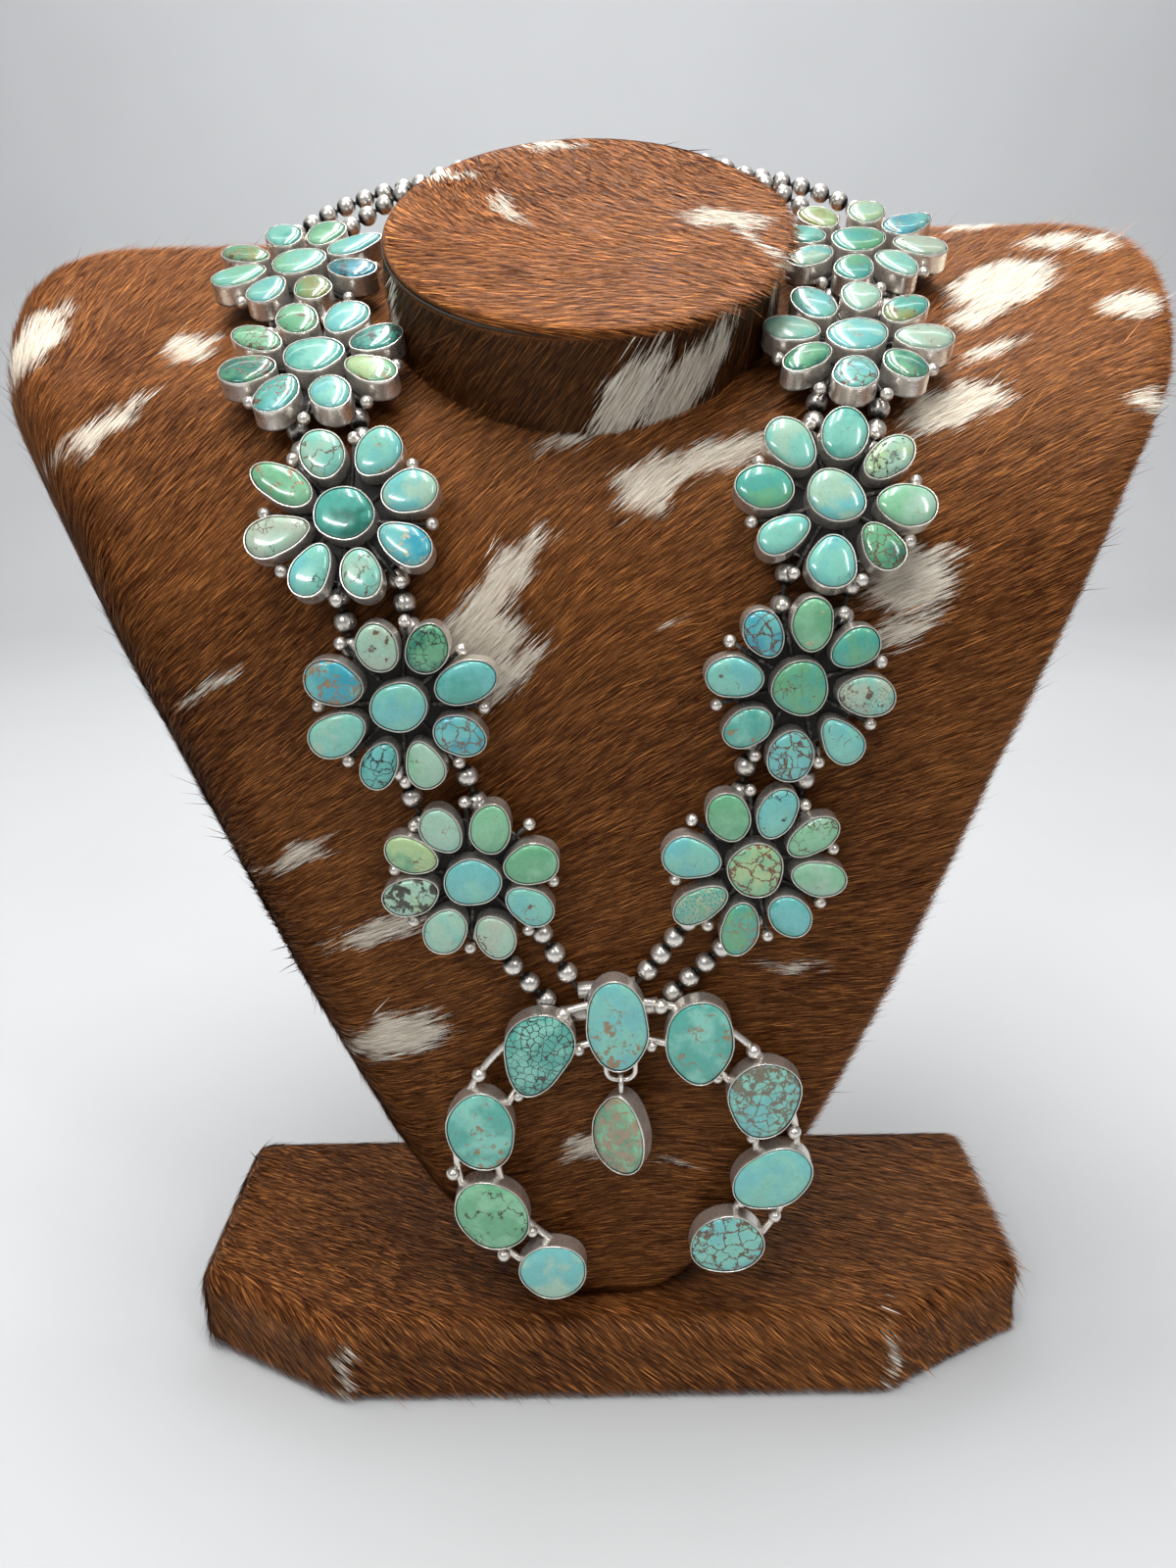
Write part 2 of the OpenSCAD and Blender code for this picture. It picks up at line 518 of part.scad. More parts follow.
// Beads spread evenly along a stretch of a way, with a small space at each end
module bead_run(p, from, to) {
  marks = lengths(p);
  count = floor((to - from - bead_space) / (bead_d + bead_space));
  space = (to - from - count * bead_d) / (count + 1);
  for (i = [0:count - 1]) {
    d = from + space + bead_d / 2 + i * (bead_d + space);
    ahead = walk(p, marks, min(d + bead_d / 2, to)) - walk(p, marks, max(d - bead_d / 2, from));
    translate(walk(p, marks, d)) along(ahead) bead();
  }
}

module straight_run(a, b, from = bead_space) {
  bead_run([a, b], from, norm(b - a) - bead_space);
}

module side_beads(side, strand) {
  straight_run(naja_end(side, strand), tube_end(side, 0, strand, -1), from = tube_d / 2);
  for (k = [0:COUNT - 2]) straight_run(tube_end(side, k, strand, 1), tube_end(side, k + 1, strand, -1));
}

clasp_w = 3 * bead_d;
clasp_t = 0.62 * bead_d;
clasp_h = 2.36 * bead_d;

// The clasp sits at the middle of the back's way, which is halfway along its list of points
module back_beads(strand) {
  way = smooth(back_points(strand));
  marks = lengths(way);
  middle = marks[(len(way) - 1) / 2];
  bead_run(way, 0, middle - clasp_w / 2);
  bead_run(way, middle + clasp_w / 2, marks[len(way) - 1]);
}

module thread(strand) {
  left = [for (k = [0:COUNT - 1], end = [-1, 1]) tube_end(0, k, strand, end)];
  right = [for (k = [COUNT - 1:-1:0], end = [1, -1]) tube_end(1, k, strand, end)];
  back = smooth(back_points(strand));
  way = concat([naja_end(0, strand)], left, [for (i = [1:len(back) - 2]) back[i]], right, [naja_end(1, strand)]);
  n = len(way);
  color("dimgray") loft([for (i = [0:n - 1])
    let (ahead = way[(i + 1) % n] - way[(i + n - 1) % n],
         across = cross(ahead, [0, -1, 0]), u = across / norm(across),
         v = cross(u, ahead) / norm(cross(u, ahead)))
    [for (k = [0:THREAD_SIDES - 1])
      let (a = 360 * k / THREAD_SIDES)
      way[i] + thread_d / 2 * (cos(a) * u + sin(a) * v)]], closed = true);
}

module clasp() {
  seat(0, neck_up) translate([0, back_reach, back_lift + BACK_OUTER[0][2] / 2]) color("silver") difference() {
    cube([clasp_w, clasp_t, clasp_h], center = true);
    for (z = [-1, 1]) translate([0, 0, -z * BACK_OUTER[0][2] / 2]) rotate([0, 90, 0])
      cylinder(d = hole_d, h = clasp_w + OVER, center = true);
  }
}

module base_felt() {
  color("black") linear_extrude(felt_t) polygon(base_outline(felt_inset));
}

module base_block() {
  color("saddlebrown") hull() for (a = [0:30:90])
    translate([0, 0, felt_t + SEAT])
      linear_extrude(base_h - felt_t - SEAT - base_round * (1 - sin(a)))
        polygon(base_outline(base_round * (1 - cos(a))));
}

module bust_form() {
  color("sienna") loft([for (row = OUTLINE) form_section(row)]);
}

// The neck stump ends a hair above the hide of the bend and the shoulders
module neck_stump() {
  deep = form_t / 2;
  ups = concat([for (row = OUTLINE) row[0] * form_len], [form_len + deep]);
  hide = [for (up = ups) let (p = place(0, up, SEAT)) [p[1], p[2]]];
  color("sienna") difference() {
    seat(0, neck_up) translate([0, 0, -deep]) cylinder(d = neck_d, h = neck_h + deep, $fn = 96);
    rotate([90, 0, 90]) linear_extrude(neck_d + 2 * OVER, center = true)
      polygon(concat(hide, [[hide[len(hide) - 1][0] + neck_d, form_z]]));
  }
}

module neck_disc() {
  seat(0, neck_up) translate([0, 0, neck_h + SEAT]) color("peru") cylinder(d = neck_d, h = disc_t, $fn = 96);
}

module naja_stone_solid(i) {
  at_naja() color("turquoise") cabochon(naja_stone(i), naja_lift, naja_cup_h);
}

base_felt();
base_block();
bust_form();
neck_stump();
neck_disc();
naja_frame();
drop_setting();
drop_stone();
thread(-1);  // thread_inner
thread(1);  // thread_outer
clasp();
back_beads(-1);  // beads_back_inner
back_beads(1);  // beads_back_outer
for (i = [1:9]) naja_stone_solid(i - 1);
for (side = [0:1]) {
  side_beads(side, -1);
  side_beads(side, 1);
  for (k = [1:COUNT]) {
    setting(side, k - 1);
    centre_stone(side, k - 1);
    petal_stones(side, k - 1);
  }
}
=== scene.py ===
"""Looks of a squash blossom necklace on a hide-covered neck bust.

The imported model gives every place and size. Lengths in the charts and in the
helper functions are millimetres in the model's frame; meshes are in metres.
"""

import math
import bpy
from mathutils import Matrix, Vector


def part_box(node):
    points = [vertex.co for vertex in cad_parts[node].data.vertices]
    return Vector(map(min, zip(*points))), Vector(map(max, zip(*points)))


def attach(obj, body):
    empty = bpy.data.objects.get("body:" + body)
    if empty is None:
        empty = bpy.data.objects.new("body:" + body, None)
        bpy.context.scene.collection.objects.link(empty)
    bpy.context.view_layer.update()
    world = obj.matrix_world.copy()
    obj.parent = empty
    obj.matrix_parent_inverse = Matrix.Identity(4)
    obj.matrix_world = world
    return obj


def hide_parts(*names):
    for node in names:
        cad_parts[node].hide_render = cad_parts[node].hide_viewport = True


bl_info = {
    "name": "Squash blossom necklace on a hide bust",
    "version": (1, 0, 0),
    "blender": (4, 5, 0),
    "location": "3D View > Sidebar > Necklace",
    "description": "Dresses the packed necklace and its bust with stones, silver, beads and hair-on hide",
    "category": "Object",
}

import bmesh
import bpy
import numpy as np
from bpy.props import (
    FloatProperty,
    FloatVectorProperty,
    IntProperty,
    PointerProperty,
)
from mathutils import Matrix, Vector

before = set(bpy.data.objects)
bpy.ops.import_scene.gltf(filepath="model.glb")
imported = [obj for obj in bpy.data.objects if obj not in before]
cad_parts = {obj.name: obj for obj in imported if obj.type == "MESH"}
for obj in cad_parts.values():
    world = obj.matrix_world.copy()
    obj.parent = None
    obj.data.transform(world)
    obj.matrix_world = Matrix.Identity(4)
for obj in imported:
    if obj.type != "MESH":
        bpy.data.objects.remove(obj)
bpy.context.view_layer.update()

MM = 0.001
BUST = "bust_and_necklace"
DROP = "drop"

# ---------------------------------------------------------------- charts

# The bust: flat chest, bend to the shoulders, then flat shoulders.
CHEST_Y = -34.0
FORM_Z = 28.1
CHEST_RISE = 184.0
BEND_R = 86.0
BEND = math.radians(58)
BEND_LEN = BEND_R * BEND
FORM_LEN = CHEST_RISE + BEND_LEN + 81
HALF_W = 162.0
FORM_T = 30.0
FORM_ROUND = 9.0
NECK_UP = CHEST_RISE + BEND_LEN + 27.6
NECK_R = 51.2
NECK_H = 23.1
DISC_T = 2.0
SEAM_R = 0.34
# The base, then how far the hide's skin keeps inside the solids of the bust and of the base.
BASE_W = 250.0
BASE_FRONT_W = 160.0
BASE_D = 90.0
BASE_CUT_D = 24.0
BASE_H = 28.0
BASE_ROUND = 6.0
SKIN_IN = 0.25
BASE_IN = 0.3

# Outline of the bust: share of the length, share of the half width, rounding.
OUTLINE = np.array([
    (0, 0.09, 0), (0.01, 0.125, 0), (0.022, 0.155, 0), (0.045, 0.2, 0), (0.085, 0.278, 0),
    (0.115, 0.322, 0), (0.15, 0.363, 0), (0.215, 0.427, 0), (0.285, 0.492, 0), (0.425, 0.608, 0),
    (0.523, 0.69, 0), (0.56, 0.722, 0), (0.6, 0.757, 0), (0.64, 0.795, 0), (0.68, 0.837, 0),
    (0.72, 0.88, 0), (0.765, 0.926, 0), (0.81, 0.962, 0), (0.86, 0.988, 0), (0.91, 1, 0),
    (0.945, 0.985, 0.06), (0.968, 0.95, 0.16), (0.984, 0.895, 0.34), (0.994, 0.82, 0.6), (1, 0.7, 0.95)])

# Light patches in the hide of the bust: right, up, half length, half width, slant.
# Their slants also chart the way the hair lies.
PATCHES = np.array([
    (-148, 289, 15, 6, 85), (-108, 283, 6, 6, 36), (-123, 250, 12, 3, 49), (-24, 206, 14, 4, 50),
    (-31, 192, 12, 8, 37), (17, 197, 3, 0.3, 14), (-60, 118, 11, 3, 18), (-80, 139, 7, 2, 24),
    (-58, 87, 12, 6, 12), (-96, 184, 6, 1, 32), (-7, 50, 7, 3.5, 22), (16, 46, 5, 0.5, -12), (-24, 184, 9, 4, 40),
    (46, 106, 6, 1, -1), (28, 238, 17, 3.6, 15), (12, 230, 9, 6.5, 40), (-9, 243, 5, 1.8, 25),
    (113, 344, 10, 3, 25), (131, 330, 9, 4, 15), (142, 327, 6, 4, 16), (111, 305, 17, 10, 36),
    (101, 289, 9, 4, 29), (100, 272, 8, 2, 28), (142, 293, 7, 6, 14), (135, 254, 4, 3, -1),
    (87, 251, 14, 6, 22), (73, 206, 11, 7, 13), (71, 194, 8, 3, 18)], dtype=float)

# Clusters from the naja up: right, up, turn of the tubes.
CLUSTERS = {
    "left": [(-30.4, 137.3, 21.0), (-45.3, 182.6, 18.1), (-56.1, 223.1, 15.0),
             (-66.4, 264.5, 13.0), (-76.9, 310.1, 8.0)],
    "right": [(39.7, 138.8, -16.0), (49.4, 184.6, -11.9), (57.8, 224.2, -11.9),
              (67.5, 266.5, -10.9), (75.0, 313.6, -3.9)],
}
BEAD_D = 5.5
BEAD_LIFT = 2.9
PLATE_LIFT = 5.0
CUP_LIFT = 5.8
CUP_H = 5.6
RIM = CUP_LIFT + CUP_H
PLATE_R = 15.0
PLATE_TOP = CUP_LIFT + 0.4
# The bar between two petals: its thickness, and where it starts and bends on its way to the ball.
BAR_R = 0.6
BAR_SPOTS = (6.5, 11)
BALL_R = 1.6
BALL_REACH = 19.9
TUBE_R = 2.2
TUBE_LEN = 24.6
HOLE_R = 0.8
STRAND_SPACE = 15.0
# Beads whose middles are nearer than this are neighbours on their strand.
NEXT_BEAD = 8.0
# Direction of each cluster's first petal, in degrees, and the painted shade on its stones, as the share of their colour
# that is kept
FIRST_PETAL = {"left": (117, 106, 110, 112, 163), "right": (116, 124, 127, 123, 125)}
CLUSTER_PAINTED_SHADE = (0.95, 0.95, 0.84, 0.7, 0.64)
CLASP_W = 16.5
CLASP_H = 2.36 * BEAD_D
CLASP_T = 0.62 * BEAD_D

NAJA_AT = (6.5, 54.5)
NAJA_TURN = 5.0
NAJA_R = 41.0
NAJA_WIRE = 2.0
NAJA_WIRE_SPACE = 11.0
NAJA_BALL_D = 4.0
NAJA_SPAN = (-141.0, 145.0)
NAJA_WIRE_LIFT = CUP_LIFT + 0.7 * NAJA_WIRE
# Balls of the naja: angle from the top, share of the wire spacing from the ring, share of the ball's size.
NAJA_BALLS = [
    (15, 0.5, 1), (15, -0.55, 0.75), (51, 0.52, 1), (51, -0.6, 0.75), (91, 0.62, 0.95), (128, 0.62, 0.95),
    (128, -0.42, 0.8), (-17, 0.5, 1), (-17, -0.6, 0.75), (-52, 0.5, 1), (-51, -0.62, 0.75), (-87, 0.45, 0.95),
    (-87, -0.6, 0.75), (-122, 0.45, 0.9), (-122, -0.5, 0.75)]
# The naja's top stone, the plate behind it, and the tubes: distance above the ring's middle, half length.
NAJA_WIDE = 17.0
NAJA_LONG = 22.0
NAJA_PLATE_R = 0.375 * NAJA_WIDE
NAJA_TUBES = [(NAJA_R + 0.44 * NAJA_WIDE, 0.345 * NAJA_LONG), (NAJA_R + 0.05 * NAJA_WIDE, 0.59 * NAJA_LONG)]
HINGE = Vector((5.427, -42.6, 106.50))
LOOP_R = 3.0
LOOP_BAR = 1.8
LOOP_LEG = 2.4
LOOP_WIRE = 1.4
RING_R = 1.7
RING_GAP = 0.25
DROP_TURN = math.radians(24)

# Colours of the stones by name, as seen in daylight.
TINTS = {
    "sky": (112, 190, 188), "aqua": (128, 198, 182), "teal": (80, 168, 154), "deep": (42, 120, 104),
    "blue": (58, 160, 180), "green": (104, 172, 130), "jade": (132, 192, 152), "pale": (162, 200, 178),
    "mist": (174, 190, 170), "lime": (172, 200, 146), "olive": (146, 152, 92), "moss": (96, 148, 116),
    "brown": (104, 68, 40), "umber": (46, 32, 22), "black": (30, 32, 28), "rust": (124, 62, 34),
    "tan": (158, 130, 92), "ochre": (168, 122, 62), "cream": (206, 196, 160), "taupe": (120, 106, 86),
    "clay": (170, 150, 122),
}
# Looks of the stones, a centre and eight petals for each cluster: main colour, second colour,
# colour of the matrix, then from 0 to 9 how much web and how many blotches, and the web's cell in mm.
# A fourth number is the side to which the blotches keep, in degrees.
STONES = {
    "left_1": [
        "sky aqua brown 0 1 3", "pale aqua tan 2 0 2", "green jade tan 1 3 2", "jade green tan 0 0 3",
        "aqua sky rust 1 4 3", "mist pale brown 2 2 3", "aqua pale brown 1 1 3", "lime pale umber 2 8 3",
        "green lime rust 1 5 2"],
    "left_2": [
        "sky aqua brown 1 1 3", "pale mist brown 0 5 2", "green deep black 5 2 2", "teal sky rust 0 2 3",
        "blue sky taupe 8 5 3", "jade pale brown 1 1 3", "sky teal black 6 0 3", "aqua pale brown 1 0 3",
        "blue sky tan 4 7 3"],
    "left_3": [
        "teal deep brown 1 2 2", "pale aqua brown 3 0 4", "sky aqua ochre 0 3 3", "pale sky tan 0 0 3",
        "blue sky cream 0 6 3", "aqua pale brown 3 0 4", "sky aqua black 1 2 3", "pale mist brown 3 0 2",
        "green jade tan 0 6 2"],
    "left_4": [
        "teal aqua brown 1 1 3", "green jade brown 2 4 2", "aqua sky tan 1 0 3", "deep teal umber 3 7 2",
        "jade lime tan 2 6 2", "sky aqua brown 1 3 3", "teal sky rust 3 6 3", "green deep brown 3 7 2",
        "green jade brown 4 6 2"],
    "left_5": [
        "aqua jade tan 1 2 3", "olive green brown 3 6 2", "teal aqua tan 1 0 3", "jade green tan 1 2 3",
        "sky aqua brown 1 0 3", "blue deep umber 6 6 2", "green olive brown 2 5 2", "sky aqua tan 1 3 3",
        "jade aqua tan 1 1 3"],
    "right_1": [
        "lime jade rust 7 2 4", "jade green brown 1 3 2", "sky aqua umber 2 4 3", "jade pale brown 4 0 2",
        "jade pale tan 1 1 3", "teal sky brown 1 0 3", "teal green tan 3 5 2", "teal green cream 9 4 1",
        "aqua sky brown 1 0 3"],
    "right_2": [
        "teal green brown 1 3 3", "blue sky brown 6 1 3", "green jade cream 1 4 3", "teal green brown 1 0 3",
        "mist aqua brown 3 5 1", "sky aqua brown 2 1 3", "sky aqua brown 6 1 3", "teal aqua tan 0 5 2",
        "sky aqua brown 2 3 3"],
    "right_3": [
        "sky pale tan 0 0 3", "aqua pale tan 0 0 3", "teal aqua brown 1 3 2", "lime pale umber 2 6 3",
        "pale jade tan 1 0 3", "deep green brown 7 3 2", "sky aqua umber 1 2 2", "sky aqua tan 0 1 3",
        "teal green tan 0 1 3"],
    "right_4": [
        "sky pale tan 1 0 3", "sky aqua brown 2 4 2", "aqua pale tan 0 0 3", "teal olive brown 2 5 2",
        "pale mist black 0 4 1", "deep green brown 3 4 2", "sky aqua brown 7 1 3", "deep green brown 1 1 3",
        "aqua pale tan 0 0 3"],
    "right_5": [
        "teal green brown 1 1 3", "olive lime brown 2 1 3", "lime pale tan 1 0 3", "blue sky taupe 4 4 3",
        "pale mist brown 2 3 3", "aqua pale tan 0 0 3", "teal green brown 1 1 3", "sky pale cream 1 5 3",
        "teal aqua brown 1 0 3"],
    "naja": [
        "sky aqua tan 1 7 3 215", "teal aqua umber 8 0 2", "aqua teal tan 1 6 3 300", "green jade umber 3 0 7",
        "sky pale tan 0 3 3", "teal aqua tan 2 5 7 0", "sky aqua taupe 8 8 3 90", "sky aqua clay 0 3 4 280",
        "sky aqua brown 9 4 4 120"],
    "drop": ["moss jade clay 4 9 3"],
}


def sheet_light(rgb):
    """An everyday 0 to 255 colour as the linear one that shaders take."""
    return tuple(((c / 255 + 0.055) / 1.055) ** 2.4 if c > 10 else c / 3294 for c in rgb) + (1.0,)


# ---------------------------------------------------------------- settings


def colour_setting(name, description, default):
    return FloatVectorProperty(name=name, description=description, default=default, size=4, subtype="COLOR",
                               min=0, max=1)


def length_setting(name, description, default, low, high):
    return FloatProperty(name=name, description=description, default=default, subtype="DISTANCE",
                         unit="LENGTH", min=low, max=high)


def share_setting(name, description, default, low, high):
    return FloatProperty(name=name, description=description, default=default, subtype="FACTOR", min=low, max=high)


class NecklaceSilver(bpy.types.PropertyGroup):
    bright: colour_setting("Silver", "Colour of the worn silver", (0.84, 0.80, 0.74, 1))
    dark: colour_setting("Oxide", "Colour of the blackened silver", (0.018, 0.017, 0.016, 1))
    wall: length_setting("Bezel wall", "Thickness of a bezel's wall", 0.0007, 0.0003, 0.0012)
    rim: length_setting("Rim", "Height of the bright rim that is rolled over a stone", 0.0005, 0.0002, 0.001)
    satin: share_setting("Satin", "Roughness of the worn silver", 0.30, 0.05, 0.8)


class NecklaceStones(bpy.types.PropertyGroup):
    polish: share_setting("Polish", "Roughness of a stone between its veins", 0.17, 0.02, 0.6)
    unevenness: share_setting(
        "Unevenness", "How far a stone's outline wanders, as a share of its size", 0.022, 0, 0.04)
    depth: length_setting("Vein depth", "How far the veins lie below the polished face", 0.00012, 0, 0.0004)


class NecklaceBeads(bpy.types.PropertyGroup):
    diameter: length_setting("Bead", "Diameter of a silver bead", BEAD_D * MM, 0.004, 0.006)
    collar: share_setting("Dark ends", "Share of a bead's half length that is dark at each end", 0.55, 0, 0.6)


class NecklaceHide(bpy.types.PropertyGroup):
    hair: length_setting("Hair length", "Usual length of the short hair", 0.0078, 0.003, 0.012)
    width: length_setting("Hair width", "Width of a lock of hair at its root", 0.00030, 0.0001, 0.0008)
    lift: FloatProperty(
        name="Hair lift", description="Angle between the hair and the skin", default=math.radians(7),
        subtype="ANGLE", unit="ROTATION", min=0.02, max=0.8)
    brown_low: colour_setting("Dark brown", "Darkest hair", sheet_light((62, 23, 6)))
    brown_high: colour_setting("Light brown", "Lightest brown hair", sheet_light((228, 148, 80)))
    white: colour_setting("White", "Hair of the light patches", sheet_light((255, 250, 238)))
    seed: IntProperty(name="Seed", description="Fixed seed of the hair's places", default=7, min=0)


class NecklaceStage(bpy.types.PropertyGroup):
    floor: colour_setting("Floor", "Colour of the pale floor", (0.50, 0.512, 0.525, 1))
    key: FloatProperty(
        name="Key light", description="Power of the large soft light, in watts", default=9.0, min=0)
    lens: FloatProperty(
        name="Lens", description="Focal length for a 36 mm long side", default=27.045, min=10, max=200)


# ---------------------------------------------------------------- nodes


class Wire:
    """One output of a node; Python's operators on it add Math nodes."""

    def __init__(self, tree, socket):
        self.tree = tree
        self.socket = socket

    def math(self, operation, *values, clamp=False):
        return add_node(self.tree, "ShaderNodeMath", {"operation": operation, "use_clamp": clamp},
                        dict(enumerate(values)))

    def __add__(self, other):
        return self.math("ADD", self, other)

    def __radd__(self, other):
        return self.math("ADD", other, self)

    def __sub__(self, other):
        return self.math("SUBTRACT", self, other)

    def __rsub__(self, other):
        return self.math("SUBTRACT", other, self)

    def __mul__(self, other):
        return self.math("MULTIPLY", self, other)

    def __rmul__(self, other):
        return self.math("MULTIPLY", other, self)

    def __truediv__(self, other):
        return self.math("DIVIDE", self, other)

    def __rtruediv__(self, other):
        return self.math("DIVIDE", other, self)

    def __pow__(self, other):
        return self.math("POWER", self, other)

    def most(self, other):
        return self.math("MAXIMUM", self, other)

    def held(self):
        """Kept between 0 and 1."""
        return self.math("ADD", self, 0.0, clamp=True)

    def between(self, low, high):
        """0 below low and 1 above high, smooth in between."""
        return add_node(self.tree, "ShaderNodeMapRange", {"interpolation_type": "SMOOTHSTEP"},
                        {"Value": self, "From Min": low, "From Max": high})


def add_node(tree, kind, settings=None, values=None, out=0):
    """Adds a node: its settings first, then its sockets' values or links. Returns the output named or numbered out."""
    node = tree.nodes.new(kind)
    for name, value in (settings or {}).items():
        setattr(node, name, value)
    for name, value in (values or {}).items():
        socket = node.inputs[name]
        if isinstance(value, Wire):
            tree.links.new(value.socket, socket)
        else:
            socket.default_value = value
    return Wire(tree, node.outputs[out]) if len(node.outputs) else None


def vector_math(tree, operation, *values):
    return add_node(tree, "ShaderNodeVectorMath", {"operation": operation}, dict(enumerate(values)))


def scale_vector(tree, vector, by):
    return add_node(tree, "ShaderNodeVectorMath", {"operation": "SCALE"}, {0: vector, 3: by})


class Finish:
    """A material under construction."""

    def __init__(self, name):
        self.material = bpy.data.materials.new(name)
        self.material.use_nodes = True
        self.tree = self.material.node_tree
        self.tree.nodes.clear()

    def node(self, kind, settings=None, values=None, out=0):
        return add_node(self.tree, kind, settings, values, out)

    def place(self):
        return self.node("ShaderNodeTexCoord", out="Object")

    def attribute(self, name, out="Fac"):
        return self.node("ShaderNodeAttribute", {"attribute_name": name}, out=out)

    def noise(self, at, scale, detail=3.0, roughness=0.55, out="Fac", **more):
        return self.node("ShaderNodeTexNoise", {}, {"Vector": at, "Scale": scale, "Detail": detail,
                                                    "Roughness": roughness, **more}, out)

    def mix(self, share, first, second):
        return self.node("ShaderNodeMix", {"data_type": "RGBA"}, {0: share, 6: first, 7: second}, 2)

    def vector(self, operation, *values):
        return vector_math(self.tree, operation, *values)

    def scaled(self, vector, by):
        return scale_vector(self.tree, vector, by)

    def stretched(self, at, turn, stretch):
        return self.node("ShaderNodeMapping", {}, {"Vector": at, "Rotation": turn, "Scale": stretch})

    def done(self, **sockets):
        """Joins the values to a Principled shader and to the output."""
        names = {name.replace("_", " ").title().replace("Ior", "IOR"): value for name, value in sockets.items()}
        shader = self.node("ShaderNodeBsdfPrincipled", {}, names)
        self.node("ShaderNodeOutputMaterial", {}, {"Surface": shader})
        return self.material

    def bump(self, height, distance, strength=1.0):
        return self.node("ShaderNodeBump", {}, {"Strength": strength, "Distance": distance, "Height": height},
                         "Normal")


made = {}


def finish_of(name):
    """Each finish is built once."""
    if name not in made:
        made[name] = FINISHES[name]()
    return made[name]


def turquoise():
    s = bpy.context.scene.necklace_stones
    f = Finish("turquoise")
    at = f.vector("ADD", f.place(), f.attribute("shift", "Vector"))
    web = f.node("ShaderNodeSeparateXYZ", {}, {0: f.attribute("amounts", "Vector")})
    blotch = Wire(f.tree, web.socket.node.outputs[1])
    cell = Wire(f.tree, web.socket.node.outputs[2])
    clouds = f.noise(at, 120.0, 3.0)
    fine = f.noise(at, 900.0, 5.0, 0.65)
    grains = f.noise(at, 2600.0, 3.0, 0.6)
    colour = f.mix(clouds.between(0.40, 0.60), f.attribute("main", "Color"), f.attribute("second", "Color"))
    specks = f.noise(at, 1500.0, 2.0).between(0.62, 0.70)
    colour = f.scaled(colour, 0.70 + 0.34 * fine + 0.26 * f.noise(at, 260.0, 2.0) - 0.16 * specks)
    # The web of veins wanders, thins and breaks off
    wander = f.scaled(f.vector("SUBTRACT", f.noise(at, 300.0, 4.0, 0.6, out="Color"), (0.5, 0.5, 0.5)),
                      0.0012 * cell)
    edge = f.node("ShaderNodeTexVoronoi", {"feature": "DISTANCE_TO_EDGE"},
                  {"Vector": f.vector("ADD", at, wander), "Scale": 1000.0 / cell}, "Distance")
    there = f.noise(at, 170.0, 2.0).between(0.66 - 0.55 * web, 0.74 - 0.55 * web)
    thick = 0.03 + 0.2 * web * (f.noise(at, 380.0, 3.0) - 0.26).held()
    lines = (1.0 - (edge / thick).between(0.45, 1.0)) * there
    # Blotches of mother rock, ragged at their edges
    rock = f.noise(f.vector("ADD", at, (0.31, 0.17, 0.05)), 330.0, 6.0, 0.68)
    low = 0.705 - 0.215 * blotch - 0.085 * f.attribute("lean")
    rocks = rock.between(low, low + 0.035)
    veins = lines.most(rocks).held()
    vein_colour = f.scaled(f.attribute("vein", "Color"), 0.4 + 0.9 * f.noise(at, 700.0, 4.0, 0.7))
    base = f.mix(veins * 0.94, colour, vein_colour)
    height = (1.0 - veins) * 0.8 + 0.12 * grains
    return f.done(base_color=base, roughness=s.polish + 0.26 * veins + 0.08 * fine, coat_weight=0.6,
                  coat_roughness=0.04, specular_ior_level=0.5, normal=f.bump(height, s.depth, 0.4))


def silver():
    s = bpy.context.scene.necklace_silver
    f = Finish("silver")
    at = f.place()
    fine = f.noise(at, 1500.0, 4.0, 0.6)
    broad = f.noise(at, 240.0, 3.0, 0.55)
    scuffs = f.noise(f.stretched(at, (0.3, 0.5, 0.7), (1.0, 1.0, 7.0)), 900.0, 3.0, 0.6)
    # Oxide stays in the recesses, with a painted shadow line where the rims meet the stones, and its edge is broken up
    dark = (f.attribute("oxide") + 0.55 * (fine - 0.5) + 0.5 * (broad - 0.5)).between(0.25, 0.85)
    base = f.mix(dark, tuple(s.bright), tuple(s.dark))
    base = f.scaled(base, 0.80 + 0.4 * broad)
    height = 0.5 * fine + 0.5 * scuffs + 0.3 * broad
    return f.done(base_color=base, metallic=0.86 - 0.3 * dark,
                  roughness=s.satin + 0.22 * dark + 0.22 * (scuffs - 0.5) + 0.12 * (broad - 0.5),
                  normal=f.bump(height, 0.00006, 0.55))


def strand():
    f = Finish("strand")
    at = f.place()
    twist = f.noise(at, 3000.0, 2.0)
    base = f.mix(twist, sheet_light((38, 35, 32)), sheet_light((92, 88, 82)))
    return f.done(base_color=base, roughness=0.55 + 0.2 * twist, metallic=0.3, normal=f.bump(twist, 0.0001, 0.6))


def hair():
    s = bpy.context.scene.necklace_hide
    f = Finish("cowhide hair")
    at = f.place()
    shade = f.attribute("shade")
    along = f.attribute("along")
    lock = f.attribute("lock")
    broad = f.noise(at, 22.0, 3.0, 0.6)
    # Few hairs are light: by chance, by their streak and in broad clouds
    tone = (0.26 * lock * lock + 0.8 * shade ** 5.0 + 0.34 * (broad - 0.45)).held()
    brown = f.mix(tone, tuple(s.brown_low), tuple(s.brown_high))
    # Painted shade: roots are darker than tips, where the hairs lie over each other. Each piece's own value darkens it
    # as painted shade above 0 and lightens it as painted sheen below 0
    brown = f.scaled(brown, (0.58 + 0.46 * along + 0.1 * shade) * (1.0 - f.attribute("painted_shade_and_sheen")))
    pale = f.mix((0.5 * shade + 0.6 * lock).held(), sheet_light((204, 188, 164)), tuple(s.white))
    # Painted shade at the roots of the light hair as well
    base = f.mix(f.attribute("white"), brown, f.scaled(pale, 0.92 + 0.12 * along))
    return f.done(base_color=base, roughness=0.42 + 0.14 * shade, specular_ior_level=0.26,
                  specular_tint=(1.0, 0.72, 0.48, 1.0))


